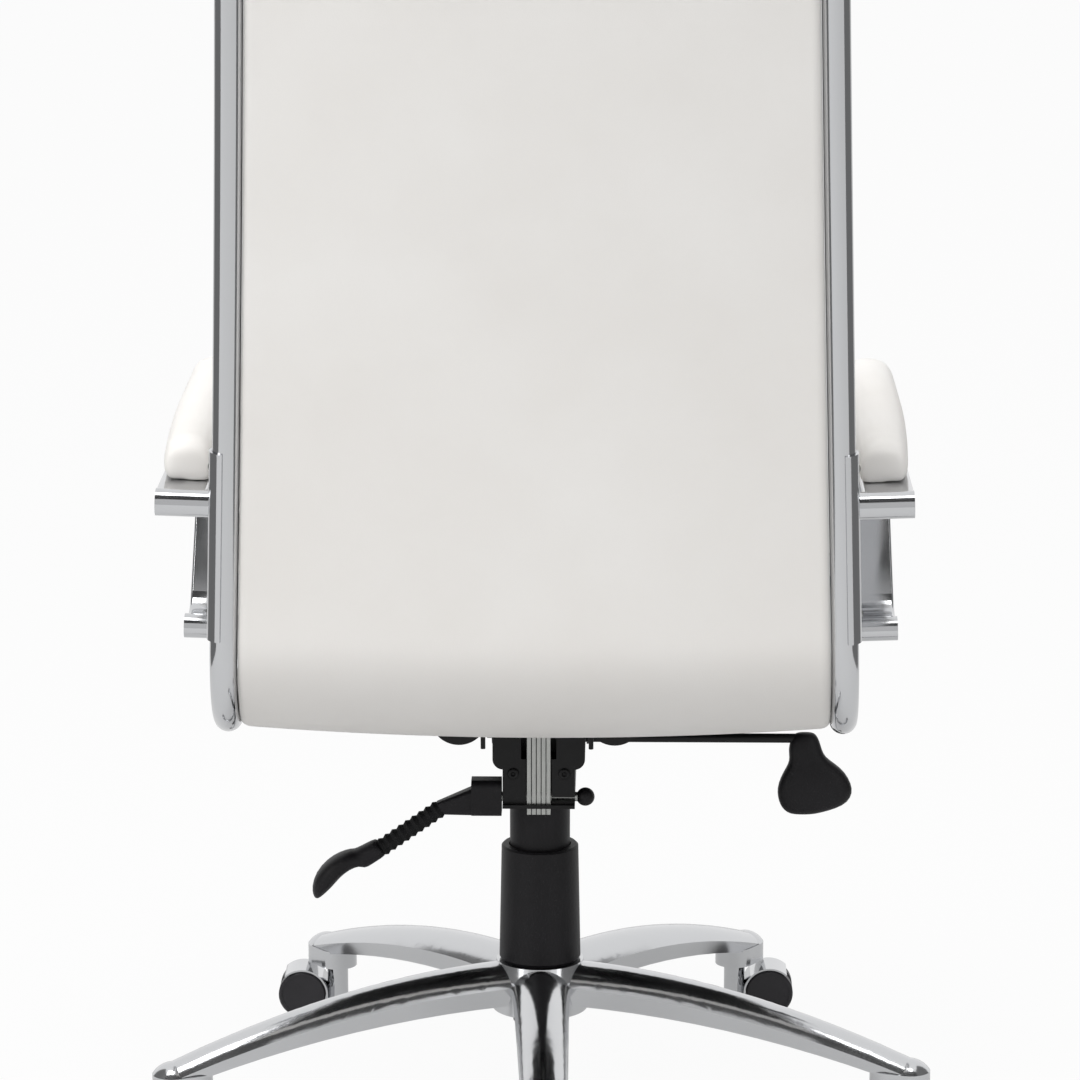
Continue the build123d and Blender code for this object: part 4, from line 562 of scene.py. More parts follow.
print("line from", round(LINE_FRONT, 3), "to", round(LINE_TOP, 3), "m")

# %% Between the rails
RAIL_R = 0.011
RAIL_X, RAIL_Z = 0.248, 0.400  # where a rail's middle passes, seen from behind
RAIL_LEAN = radians(1.9)
PANEL_GAP = 0.0015


def rail_x(height):
    """Distance of a rail's middle from the chair's middle."""
    return RAIL_X - (height - RAIL_Z) * tan(RAIL_LEAN)


def panel_half(run):
    """Half width of the upholstery between the rails."""
    return rail_x(at_line(0, run, 0).z) - RAIL_R - PANEL_GAP


print("half width at the bend and the top:", [round(panel_half(run), 3) for run in (0, LINE_TOP)])

# %% [markdown]
# ## Skins from sections
# Cushions and covers are all made the same way: a row of closed outlines, joined into a skin and
# closed at both ends. Each outline has the same number of points, so the skin is a clean grid.

# %% Pieces and skins


def new_piece(name, mesh, finish, body):
    """Link a mesh as a finished piece that rides on a body."""
    piece = bpy.data.objects.new(name, mesh)
    scene.collection.objects.link(piece)
    mesh.materials.clear()
    mesh.materials.append(finish)
    for face in mesh.polygons:
        face.use_smooth = True
    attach(piece, body)
    return piece


def skin(name, outlines):
    """Closed mesh through a row of closed outlines."""
    mesh = bpy.data.meshes.new(name)
    shape = bmesh.new()
    rings = [[shape.verts.new(point) for point in outline] for outline in outlines]
    count = len(rings[0])
    for ring, after in zip(rings, rings[1:]):
        for i in range(count):
            j = (i + 1) % count
            shape.faces.new((ring[i], ring[j], after[j], after[i]))
    shape.faces.new(rings[0])
    shape.faces.new(rings[-1])
    bmesh.ops.recalc_face_normals(shape, faces=shape.faces)
    shape.to_mesh(mesh)
    shape.free()
    return mesh


# %% Curves for outlines


def arc_points(start, through, end, steps):
    """Points along the circle through three points of a plane, the first one included."""
    (ax, ay), (bx, by), (cx, cy) = start, through, end
    d = 2 * (ax * (by - cy) + bx * (cy - ay) + cx * (ay - by))
    a2, b2, c2 = ax * ax + ay * ay, bx * bx + by * by, cx * cx + cy * cy
    ux = (a2 * (by - cy) + b2 * (cy - ay) + c2 * (ay - by)) / d
    uy = (a2 * (cx - bx) + b2 * (ax - cx) + c2 * (bx - ax)) / d
    radius = hypot(ax - ux, ay - uy)
    first = atan2(ay - uy, ax - ux)
    middle = (atan2(by - uy, bx - ux) - first) % (2 * pi)
    last = (atan2(cy - uy, cx - ux) - first) % (2 * pi)
    sweep = last if middle < last else last - 2 * pi
    angles = [first + sweep * step / steps for step in range(steps)]
    return [(ux + radius * cos(angle), uy + radius * sin(angle)) for angle in angles]


def quarter_round(share):
    """Height of a quarter circle, from 0 at share 0 to 1 at share 1."""
    return max(0.0, 1 - (1 - share) ** 2) ** 0.5


def straight_points(start, end, steps):
    """Points along a straight line, the first one included."""
    shares = [step / steps for step in range(steps)]
    return [
        (start[0] + (end[0] - start[0]) * s, start[1] + (end[1] - start[1]) * s) for s in shares
    ]


def rising(low, share):
    """Value that rises from low at share 0 to 1 at share 1."""
    return low + (1 - low) * share


print("quarter circle at a half:", round(quarter_round(0.5), 3))

# %% [markdown]
# ## The back panel
# What one sees first is the white panel that wraps the back of the chair and runs on under the
# seat. It is leather pulled over a shallow crowned former, so it has no padding of its own to
# swell. A skin with rolled edges gives its shape. Under the seat, where nobody looks, the panel is
# closed with black dust cloth: the picture shows it only as the dark band that the legs reflect.

# %% Back panel
SOFT_GAP = 0.0003  # between a soft piece and what it lies on
COVER_EDGE, COVER_CROWN = 0.0063, 0.015  # thickness at the sides and in the middle
COVER_REACH = 0.0012  # how far the rolled edge bulges towards the rail
COVER_BROW = 1.3  # from the side to where the roll meets the crown, in edge thicknesses
COVER_FOOT = 0.001  # how far the flat inside stays back from the roll
ROLL_STEPS = 9


def cover_outline(run, thinning, inset):
    """Outline of the panel: flat inside, rolled edges, crowned outside."""
    half = panel_half(run) - inset
    edge, crown = COVER_EDGE * thinning, COVER_CROWN * thinning
    brow, cheek = half - COVER_BROW * edge, half + COVER_REACH
    foot = cheek - COVER_FOOT
    low, high = edge / 3, 1.1 * edge
    turns = [pi / 2 * step / ROLL_STEPS for step in range(ROLL_STEPS)]
    roll = [(brow + (cheek - brow) * cos(turn), low + (high - low) * sin(turn)) for turn in turns]
    outline = straight_points((-foot, SOFT_GAP), (foot, SOFT_GAP), 10)
    outline += roll
    outline += arc_points((brow, high), (0, crown), (-brow, high), 48)
    outline += [(-brow, high)] + [(-x, outwards) for x, outwards in reversed(roll)]
    return [at_line(x, run, outwards) for x, outwards in outline]


BACK_OVERHANG = 0.018  # of the upholstery past the top of the rails
COVER_FIRST, COVER_LAST = LINE_FRONT + PANEL_GAP, LINE_TOP + BACK_OVERHANG
COVER_STEPS = 150
COVER_END = 0.02  # length of the rounded ends
END_FULLNESS = 0.3
END_INSET = 0.002
cover_outlines = []
for step in range(COVER_STEPS + 1):
    run = COVER_FIRST + (COVER_LAST - COVER_FIRST) * step / COVER_STEPS
    from_end = min(run - COVER_FIRST, COVER_LAST - run)
    rounding = min(1.0, from_end / COVER_END)
    fullness = rising(END_FULLNESS, quarter_round(rounding))
    cover_outlines.append(cover_outline(run, fullness, END_INSET * (1 - rounding)))
cover_mesh = skin("back_panel", cover_outlines)
back_panel = new_piece("back_panel", cover_mesh, LEATHER, "seat")
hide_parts("rear_cover")
print("back panel:", len(cover_mesh.polygons), "faces")

# %% Dust cloth under the seat
CLOTH_END = -0.012  # run where the cloth stops, in front of the bend

cover_mesh.materials.append(DUST_CLOTH)
for face in cover_mesh.polygons:
    run, outwards = from_line(face.center)
    inside = abs(face.center.x) < panel_half(run) - COVER_EDGE
    if run < CLOTH_END and outwards > COVER_EDGE and inside:
        face.material_index = 1
print("cloth on", sum(face.material_index for face in cover_mesh.polygons), "faces")

# %% [markdown]
# ## Cushions that swell
# The seat and back cushions are foam in sewn leather. Real ones are tight in the middle and
# pulled in at their edges, which is what Blender's cloth with a little inner pressure does. The
# start shape is a bit too thin, an even skin of small squares is laid over it, and twenty frames
# of pressure fill it. The side on the shell is held still, so it stays flat.

# %% Stuffing
SIM_FRAMES = 20
PRESSURE = 1.0
CLOTH_QUALITY = 5


def evaluated_mesh(piece):
    """Plain mesh of an object with its modifiers applied."""
    bpy.context.view_layer.update()
    return bpy.data.meshes.new_from_object(
        piece.evaluated_get(bpy.context.evaluated_depsgraph_get())
    )


def stuffed(mesh, name, square, most, is_held):
    """Even out a closed skin, swell it by cloth pressure, and cap how far a point may move."""
    dummy = bpy.data.objects.new(name, mesh)
    scene.collection.objects.link(dummy)
    even = dummy.modifiers.new("even", "REMESH")
    even.mode = "VOXEL"
    even.voxel_size = square
    flat = evaluated_mesh(dummy)
    dummy.modifiers.clear()
    dummy.data = flat
    start = [vertex.co.copy() for vertex in flat.vertices]
    held = dummy.vertex_groups.new(name="held")
    held.add([v.index for v in flat.vertices if is_held(v.co)], 1.0, "REPLACE")
    cloth = dummy.modifiers.new("stuffing", "CLOTH")
    cloth.settings.quality = CLOTH_QUALITY
    cloth.settings.use_pressure = True
    cloth.settings.uniform_pressure_force = PRESSURE
    cloth.settings.vertex_group_mass = held.name
    cloth.settings.effector_weights.gravity = 0.0
    cloth.collision_settings.use_collision = False
    cloth.collision_settings.use_self_collision = False
    for number in range(1, SIM_FRAMES + 1):
        scene.frame_set(number)
    flat = evaluated_mesh(dummy)
    for vertex, before in zip(flat.vertices, start):
        move = vertex.co - before
        if move.length > most:
            vertex.co = before + move * (most / move.length)
    scene.frame_set(1)
    bpy.data.objects.remove(dummy)
    return flat


def subdivided(mesh):
    """The same mesh with each square cut in four and smoothed."""
    dummy = bpy.data.objects.new("dummy", mesh)
    scene.collection.objects.link(dummy)
    smooth = dummy.modifiers.new("smooth", "SUBSURF")
    smooth.levels = 1
    smooth.render_levels = 1
    fine = evaluated_mesh(dummy)
    bpy.data.objects.remove(dummy)
    return fine


print("stuffing:", SIM_FRAMES, "frames at pressure", PRESSURE)

# %% Cushion sections
SHELL_INNER = -0.013
CUSHION_FLOOR = SHELL_INNER - SOFT_GAP
CUSHION_INSET = 0.003
FOOT_INSET, BROW_INSET = 0.06, 0.2  # shares of the thickness by which the sides draw in
SIDE_LEVEL, BROW_LEVEL = 0.4, 0.82  # shares of the thickness


def cushion_outline(run, thick):
    """Outline of a cushion: flat on the shell, drawn-in sides, crowned face."""
    half = panel_half(run) - CUSHION_INSET
    foot, brow = half - FOOT_INSET * thick, half - BROW_INSET * thick
    side, cheek = CUSHION_FLOOR - SIDE_LEVEL * thick, CUSHION_FLOOR - BROW_LEVEL * thick
    outline = straight_points((-foot, CUSHION_FLOOR), (foot, CUSHION_FLOOR), 24)
    outline += arc_points((foot, CUSHION_FLOOR), (half, side), (brow, cheek), 8)
    outline += arc_points((brow, cheek), (0, CUSHION_FLOOR - thick), (-brow, cheek), 30)
    outline += arc_points((-brow, cheek), (-half, side), (-foot, CUSHION_FLOOR), 8)
    return [at_line(x, run, outwards) for x, outwards in outline]


CUSHION_END = 0.035  # length of the rounded ends
CUSHION_STEPS = 60
START_THIN = 0.95


def cushion_start(first, last, thick, ends):
    """Outlines of a cushion before it swells, from end to end."""
    outlines = []
    for step in range(CUSHION_STEPS + 1):
        run = first + (last - first) * step / CUSHION_STEPS
        lead = min(1.0, (run - first) / CUSHION_END)
        tail = min(1.0, (last - run) / CUSHION_END)
        full = rising(ends[0], quarter_round(lead)) * rising(ends[1], quarter_round(tail))
        outlines.append(cushion_outline(run, thick * START_THIN * full))
    return outlines


print("cushions lie", round(-CUSHION_FLOOR / MM, 1), "mm inside the line")

# %% [markdown]
# ## Sewn channels
# Seams across the cushions pull the leather down into channels. They are pressed in after the
# swelling, because the even skin would wash out such narrow folds. Each seam is a smooth valley
# across the cushion, deepest at the face and fading out down the sides.

# %% Channels
CHANNEL_DEPTH = 0.0085
CHANNEL_HALF = 0.026  # from a seam to where its valley ends
FADE_START, FADE_LENGTH = 0.25, 0.5  # shares of the thickness over which the valleys fade in


def press_channels(mesh, thick, seams):
    """Press a valley along each seam, and keep the cushion off the rails and the shell."""
    for vertex in mesh.vertices:
        run, outwards = from_line(vertex.co)
        depth = CUSHION_FLOOR - outwards
        reach = max(0.0, min(1.0, (depth - FADE_START * thick) / (FADE_LENGTH * thick)))
        sink = sum(max(0.0, 1 - abs(run - seam) / CHANNEL_HALF) ** 3 for seam in seams)
        if sink > 0 and reach > 0:
            vertex.co = at_line(vertex.co.x, run, outwards + CHANNEL_DEPTH * sink * reach)
        half = panel_half(run)
        if abs(vertex.co.x) > half:
            vertex.co.x = copysign(half, vertex.co.x)
        if outwards > CUSHION_FLOOR:
            vertex.co = at_line(vertex.co.x, run, CUSHION_FLOOR)


print("channels:", CHANNEL_DEPTH / MM, "mm deep")

# %% Seat and back cushions
SQUARE = 0.006
CUSHION_SWELL = 0.022  # the most that a point may move
HELD_DEPTH = 0.003


def on_shell(point):
    """Whether a point of a cushion lies on the shell."""
    return from_line(point)[1] > CUSHION_FLOOR - HELD_DEPTH


def make_cushion(name, node, first, last, thick, channels, ends):
    """Swell, channel and link one cushion, and return it with the runs of its seams."""
    start = skin(name, cushion_start(first, last, thick, ends))
    mesh = subdivided(stuffed(start, name, SQUARE, CUSHION_SWELL, on_shell))
    pitch = (last - first) / channels
    seams = [first + pitch * number for number in range(1, channels)]
    press_channels(mesh, thick, seams)
    cushion = new_piece(name, mesh, LEATHER, "seat")
    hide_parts(node)
    print(name, len(mesh.polygons), "faces")
    return cushion, seams


CREASE_RUN = BEND_LENGTH / 2
CREASE_HALF = BEND_R * radians(1.5)
SEAT_OVERHANG = 0.016
SEAT_THICK, BACK_THICK = 0.066, 0.050
SEAT_CHANNELS, BACK_CHANNELS = 6, 9
FREE_END, CREASE_END = 0.45, 0.8  # share of the thickness that is left at an end
seat_pad, seat_seams = make_cushion(
    "seat_pad",
    "seat_cushion",
    LINE_FRONT - SEAT_OVERHANG,
    CREASE_RUN - CREASE_HALF,
    SEAT_THICK,
    SEAT_CHANNELS,
    (FREE_END, CREASE_END),
)
back_pad, back_seams = make_cushion(
    "back_pad",
    "back_cushion",
    CREASE_RUN + CREASE_HALF,
    COVER_LAST,
    BACK_THICK,
    BACK_CHANNELS,
    (CREASE_END, FREE_END),
)

# %% [markdown]
# ## Arm pads
# Each arm carries a slim pad on top of the chrome strap, blunt at the rear, a little wider and
# higher towards its rounded front. It is swollen in the same way from a slightly thin start, with
# its flat side held on the strap. The arm leans in with the rail, so its points are first given in
# the arm's own plane.

# %% The arm's plane
ARM_OUT = 0.038
STRAP_REAR = (0.247, 0.590)
STRAP_FRONT = (-0.158, 0.597)
STRAP_TOP = 0.004 + SOFT_GAP


def arm_point(side, out, y, z):
    """Point in the leaning plane of an arm; out is measured from the rail's plane."""
    up = z - RAIL_Z
    x = RAIL_X + out * cos(RAIL_LEAN) - up * sin(RAIL_LEAN)
    return Vector((side * x, y, RAIL_Z + out * sin(RAIL_LEAN) + up * cos(RAIL_LEAN)))


def strap_height(y):
    """Height of the strap's top in the arm's plane."""
    share = (y - STRAP_REAR[0]) / (STRAP_FRONT[0] - STRAP_REAR[0])
    return STRAP_REAR[1] + (STRAP_FRONT[1] - STRAP_REAR[1]) * share + STRAP_TOP


print("strap's top:", [round(strap_height(end[0]), 4) for end in (STRAP_REAR, STRAP_FRONT)])

# %% Pad sections
PAD_REAR, PAD_FRONT = 0.218, -0.136
PAD_HALF, PAD_TALL = 0.0205, 0.038
PAD_INSET = 0.0025  # of the pad's middle inwards from the arm's
PAD_THIN = 0.93
PAD_SHRINK = 0.0006
PAD_FLARE, FLARE_LENGTH = 0.0036, 0.6  # growth of the half width, over this share of the length
PAD_RISE = 0.12  # growth of the height, as a share
REAR_ROUND, FRONT_ROUND = 0.02, 0.045
REAR_TALL, REAR_WIDE = 0.7, 0.92  # shares that are left at the blunt rear
FRONT_TALL, FRONT_WIDE = 0.25, 0.45  # and at the rounded front
PAD_FOOT, PAD_BROW = 0.86, 0.75  # shares of the half width
PAD_SIDE_LEVEL, PAD_BROW_LEVEL = 0.4, 0.85  # shares of the height


def pad_outline(side, share):
    """Outline of an arm pad at a share of its length from the rear, before it swells."""
    length = PAD_REAR - PAD_FRONT
    y = PAD_REAR - length * share
    rear = quarter_round(min(share * length / REAR_ROUND, 1.0))
    front = quarter_round(min((1 - share) * length / FRONT_ROUND, 1.0))
    tall = PAD_TALL * PAD_THIN * (1 + PAD_RISE * share)
    tall *= rising(REAR_TALL, rear) * rising(FRONT_TALL, front)
    flare = PAD_FLARE * sin(pi / 2 * min(share / FLARE_LENGTH, 1.0))
    half = (PAD_HALF + flare) * rising(REAR_WIDE, rear) * rising(FRONT_WIDE, front) - PAD_SHRINK
    foot, brow = PAD_FOOT * half, PAD_BROW * half
    level, cheek = PAD_SIDE_LEVEL * tall, PAD_BROW_LEVEL * tall
    flat = straight_points((-foot, 0), (foot, 0), 8)
    flat += arc_points((foot, 0), (half, level), (brow, cheek), 8)
    flat += arc_points((brow, cheek), (0, tall), (-brow, cheek), 10)
    flat += arc_points((-brow, cheek), (-half, level), (-foot, 0), 8)
    base, middle = strap_height(y), ARM_OUT - PAD_INSET + flare
    return [arm_point(side, middle + out, y, base + up) for out, up in flat]


print("pad length:", round(PAD_REAR - PAD_FRONT, 3), "m")

# %% Arm pads
PAD_STEPS = 50
PAD_SQUARE = 0.004
PAD_SWELL = 0.008


def on_strap(point):
    """Whether a point of a pad lies on the strap."""
    return point.z < strap_height(point.y) + HELD_DEPTH


for side, word in ((1, "left"), (-1, "right")):
    pad_name = "arm_cushion_" + word
    sections = [pad_outline(side, step / PAD_STEPS) for step in range(PAD_STEPS + 1)]
    pad_start = skin(pad_name, sections)
    pad_mesh = subdivided(stuffed(pad_start, pad_name, PAD_SQUARE, PAD_SWELL, on_strap))
    pad = new_piece(pad_name, pad_mesh, LEATHER, "seat")
    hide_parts("arm_pad_" + word)
    print(pad_name, len(pad_mesh.polygons), "faces")

# %% [markdown]
# ## Seams sewn by Geometry Nodes
# Two rows of stitches run beside every seam of the cushions. A row is first laid on the leather as
# a chain of points, each found by a ray from in front. The node tree then spaces the stitches
# along the chain and turns each one to lie flat on the leather.

# %% Start, end and use of a node tree


def new_tree(name, inputs, output):
    """A Geometry Nodes tree with named inputs of given kinds and one geometry output."""
    tree = bpy.data.node_groups.new(name, "GeometryNodeTree")
    for label, kind in inputs.items():
        tree.interface.new_socket(label, in_out="INPUT", socket_type="NodeSocket" + kind)
    tree.interface.new_socket(output, in_out="OUTPUT", socket_type="NodeSocketGeometry")
    return tree


def end_tree(tree, placed, finish, output):
    """Make the placed copies real, give them their finish and hand them out."""
    real = add_node(tree, "GeometryNodeRealizeInstances", {"Geometry": placed.outputs["Instances"]})
    done = add_node(
        tree,
        "GeometryNodeSetMaterial",
        {"Geometry": real.outputs["Geometry"], "Material": finish},
    )
    add_node(tree, "NodeGroupOutput", {output: done.outputs["Geometry"]})


def grown(mesh, tree, values):
    """Mesh that a node tree makes from another mesh, with the tree's inputs given by name."""
    dummy = bpy.data.objects.new("dummy", mesh)
    scene.collection.objects.link(dummy)
    growth = dummy.modifiers.new("growth", "NODES")
    growth.node_group = tree
    for item in tree.interface.items_tree:
        if item.in_out == "INPUT" and item.name in values:
            growth[item.identifier] = values[item.name]
    made = evaluated_mesh(dummy)
    dummy.modifiers.clear()
    bpy.data.objects.remove(dummy)
    return made


print("node trees so far:", len(bpy.data.node_groups))

# %% Stitch tree
STITCH_HALF, STITCH_SINK = 1.8 * MM, 0.5 * MM
HUMP_HALF, HUMP_RISE = 1.2 * MM, 0.6 * MM
THREAD_R = 0.4 * MM


def sewing_tree():
    """Node tree that turns chains of points into rows of stitches."""
    sockets = {"Rows": "Geometry", "Pitch": "Float", "Thread": "Material"}
    tree = new_tree("sewing", sockets, "Stitches")
    given = add_node(tree, "NodeGroupInput").outputs
    chain = add_node(tree, "GeometryNodeMeshToCurve", {"Mesh": given["Rows"]})
    even = add_node(
        tree,
        "GeometryNodeResampleCurve",
        {"Curve": chain.outputs["Curve"], "Length": given["Pitch"]},
        mode="LENGTH",
    )
    ahead = add_node(tree, "GeometryNodeInputTangent")
    leather = add_node(
        tree, "GeometryNodeInputNamedAttribute", {"Name": "outwards"}, data_type="FLOAT_VECTOR"
    )
    turned = add_node(
        tree, "FunctionNodeAlignRotationToVector", {"Vector": ahead.outputs["Tangent"]}, axis="X"
    )
    turned = add_node(
        tree,
        "FunctionNodeAlignRotationToVector",
        {"Rotation": turned.outputs["Rotation"], "Vector": leather.outputs["Attribute"]},
        axis="Z",
        pivot_axis="X",
    )
    hump = add_node(
        tree,
        "GeometryNodeCurvePrimitiveBezierSegment",
        {
            "Resolution": 4,
            "Start": (-STITCH_HALF, 0, -STITCH_SINK),
            "Start Handle": (-HUMP_HALF, 0, HUMP_RISE),
            "End Handle": (HUMP_HALF, 0, HUMP_RISE),
            "End": (STITCH_HALF, 0, -STITCH_SINK),
        },
    )
    strand = add_node(
        tree, "GeometryNodeCurvePrimitiveCircle", {"Resolution": 5, "Radius": THREAD_R}
    )
    stitch = add_node(
        tree,
        "GeometryNodeCurveToMesh",
        {
            "Curve": hump.outputs["Curve"],
            "Profile Curve": strand.outputs["Curve"],
            "Fill Caps": True,
        },
    )
    placed = add_node(
        tree,
        "GeometryNodeInstanceOnPoints",
        {
            "Points": even.outputs["Curve"],
            "Instance": stitch.outputs["Mesh"],
            "Rotation": turned.outputs["Rotation"],
        },
    )
    end_tree(tree, placed, given["Thread"], "Stitches")
    return tree


SEWING = sewing_tree()
print("tree:", SEWING.name, len(SEWING.nodes), "nodes")

# %% Rows of stitches
ROW_SHIFT = 0.0048  # from the seam to a row
ROW_END = 0.030  # from the cushion's side to the end of a row
ROW_POINTS = 60
RAY_START = -0.13  # in front of both cushions
STITCH_PITCH = 5 * MM


def stitch_rows(cushion, seams):
    """Chains of points on a cushion's face, on both sides of each seam."""
    mesh = cushion.data
    faces = [tuple(face.vertices) for face in mesh.polygons]
    leather = BVHTree.FromPolygons([vertex.co for vertex in mesh.vertices], faces)
    points, chains, normals = [], [], []
    for seam in seams:
        for run in (seam - ROW_SHIFT, seam + ROW_SHIFT):
            half = panel_half(run) - ROW_END
            last = None
            for step in range(ROW_POINTS + 1):
                x = half * (2 * step / ROW_POINTS - 1)
                start = at_line(x, run, RAY_START)
                place, normal, _, _ = leather.ray_cast(start, at_line(x, run, 0) - start)
                if place is None:
                    last = None
                    continue
                points.append(place)
                normals.append(normal)
                if last is not None:
                    chains.append((last, len(points) - 1))
                last = len(points) - 1
    rows = bpy.data.meshes.new("rows")
    rows.from_pydata(points, chains, [])
    outwards = rows.attributes.new("outwards", "FLOAT_VECTOR", "POINT")
    for entry, normal in zip(outwards.data, normals):
        entry.vector = normal
    return rows


for cushion, seams in ((seat_pad, seat_seams), (back_pad, back_seams)):
    rows = stitch_rows(cushion, seams)
    sewn = grown(rows, SEWING, {"Pitch": STITCH_PITCH, "Thread": THREAD})
    name = cushion.name.replace("pad", "stitches")
    new_piece(name, sewn, THREAD, "seat")
    print(name, len(sewn.polygons), "faces")

# %% [markdown]
# ## The grip of the height lever
# The grip hangs from the rod like a pear: a slim neck, a waist, then a wide bulb that leans
# outwards and turns under at its foot. It is a skin through a few level sections, each a rounded
# oval, smoothed once.

# %% Height lever grip
GRIP_POINTS = 32
FULLNESS = 0.85  # power of an oval: 1 is an ellipse, less is squarer
GRIP_LEVELS = (
    # height, inner side, outer side and half depth, in millimetres
    (333.0, -220.0, -233.0, 4.5),
    (331.0, -216.5, -236.0, 7.0),
    (326.0, -213.8, -238.8, 8.6),
    (318.0, -212.2, -240.8, 9.2),
    (311.0, -213.4, -244.0, 9.4),
    (305.0, -212.4, -253.0, 10.2),
    (298.0, -208.0, -261.2, 11.4),
    (288.0, -203.8, -266.6, 12.3),
    (280.0, -202.9, -267.8, 12.3),
    (272.0, -204.6, -264.0, 11.4),
    (267.0, -207.0, -255.0, 9.8),
    (263.0, -211.0, -242.0, 7.0),
    (261.0, -216.0, -233.0, 4.0),
)


def rounded(angle):
    """Point at an angle on a unit oval that is a little fuller than a circle."""
    x, y = cos(angle), sin(angle)
    return copysign(abs(x) ** FULLNESS, x), copysign(abs(y) ** FULLNESS, y)


def grip_ring(height, inner, outer, depth):
    """Level section of the grip."""
    ring = []
    for step in range(GRIP_POINTS):
        x, y = rounded(2 * pi * step / GRIP_POINTS)
        ring.append(((inner + outer + x * (inner - outer)) / 2 * MM, y * depth * MM, height * MM))
    return ring


grip_mesh = subdivided(skin("lever_grip", [grip_ring(*level) for level in GRIP_LEVELS]))
lever_grip = new_piece("lever_grip", grip_mesh, NYLON, "height_lever")
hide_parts("height_handle")
print("lever grip:", len(grip_mesh.polygons), "faces")

# %% [markdown]
# ## The leaf of the lock lever
# The lock lever ends in a moulded leaf: a square sleeve over the bellows, a step on its underside,
# then a blade that bends down and thins out to its tip. Each section stands square to the lever.

# %% Lock lever leaf
LOCK_Y = 52.0  # of the lever's middle, in millimetres
LEAF_POINTS = 28
LEAF_STATIONS = (
    # place along X, height, fall in degrees, half thickness and half width, in millimetres
    (133.0, 245.7, 34.0, 7.6, 10.0),
    (137.0, 243.4, 34.0, 8.5, 10.8),
    (147.0, 237.4, 34.0, 8.9, 11.6),
    (152.4, 234.4, 34.0, 9.3, 12.2),
    (155.6, 236.0, 34.0, 7.8, 13.0),
    (165.0, 232.8, 36.0, 8.2, 15.0),
    (174.5, 226.0, 43.0, 9.0, 16.0),
    (182.3, 216.5, 55.0, 9.2, 15.0),
    (187.0, 207.5, 68.0, 6.6, 10.5),
    (188.6, 202.0, 75.0, 3.6, 6.0),
    (189.2, 199.4, 80.0, 1.2, 2.0),
)


def leaf_ring(x, height, fall, thick, wide):
    """Section of the leaf, square to the lever: an oval a little fuller than an ellipse."""
    ring = []
    for step in range(LEAF_POINTS):
        across, up = rounded(2 * pi * step / LEAF_POINTS)
        forward, rise = up * thick * sin(radians(fall)), up * thick * cos(radians(fall))
        ring.append(((x + forward) * MM, (LOCK_Y + across * wide) * MM, (height + rise) * MM))
    return ring


leaf_mesh = subdivided(skin("lock_leaf", [leaf_ring(*station) for station in LEAF_STATIONS]))
lock_leaf = new_piece("lock_leaf", leaf_mesh, NYLON, "lock_lever")
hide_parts("lock_paddle")
print("lock leaf:", len(leaf_mesh.polygons), "faces")

# %% [markdown]
# ## Bolts on the housing
# Two button-head bolts close the rear of the tilt housing, one on each side of the lamellae. One
# head is turned as a ring profile with a hexagon socket, and a node tree sets it on both places.

# %% Bolt head
SOCKET_R = 2.1
HEAD_PROFILE = (
    # radius and height, in millimetres
    (5.0, 0.0),
    (5.0, 0.5),
    (4.6, 1.2),
    (3.7, 1.7),
    (2.6, 1.9),
    (SOCKET_R, 1.8),
    (SOCKET_R, 0.6),
)
HEAD_POINTS = 36


def bolt_head():
    """A domed head along +Y with a hexagon socket, standing on the plane y = 0."""
    rings = []
    for radius, rise in HEAD_PROFILE:
        ring = []
        for step in range(HEAD_POINTS):
            angle = 2 * pi * step / HEAD_POINTS
            reach = radius
            if radius == SOCKET_R:
                reach = radius * cos(pi / 6) / cos(angle % (pi / 3) - pi / 6)
            ring.append((reach * sin(angle) * MM, rise * MM, reach * cos(angle) * MM))
        rings.append(ring)
    return skin("bolt_head", rings)


head = bpy.data.objects.new("bolt_head", bolt_head())
print("bolt head:", len(head.data.polygons), "faces")

# %% Housing bolts
BOLT_PLACES = [(-0.0215, 0.062, 0.3125), (0.0215, 0.062, 0.3125)]


def setting_tree():
    """Node tree that sets one piece on every point of a mesh."""
    sockets = {"Places": "Geometry", "Piece": "Object", "Finish": "Material"}
    tree = new_tree("setting", sockets, "Pieces")
    given = add_node(tree, "NodeGroupInput").outputs
    piece = add_node(tree, "GeometryNodeObjectInfo", {"Object": given["Piece"]})
    placed = add_node(
        tree,
        "GeometryNodeInstanceOnPoints",
        {"Points": given["Places"], "Instance": piece.outputs["Geometry"]},
    )
    end_tree(tree, placed, given["Finish"], "Pieces")
    return tree


places = bpy.data.meshes.new("bolt_places")
places.from_pydata(BOLT_PLACES, [], [])
bolts = grown(places, setting_tree(), {"Piece": head, "Finish": POWDER})
bpy.data.objects.remove(head)
new_piece("housing_bolts", bolts, POWDER, "head")
print("housing bolts:", len(bolts.polygons), "faces")

# %% [markdown]
# ## The studio
# A pale floor in a white room. The floor and the room are lit white for the camera and for
# reflections only, so that they do not flood the chair with light, and the floor keeps its shadow.

# %% Floor
WHITE = (1, 1, 1, 1)
PAPER = "#cacaca"
FLOOR_HALF = 12.0
DIRECT_WHITE, MIRRORED_WHITE = 0.95, 0.45  # share of white that the camera and the mirrors see


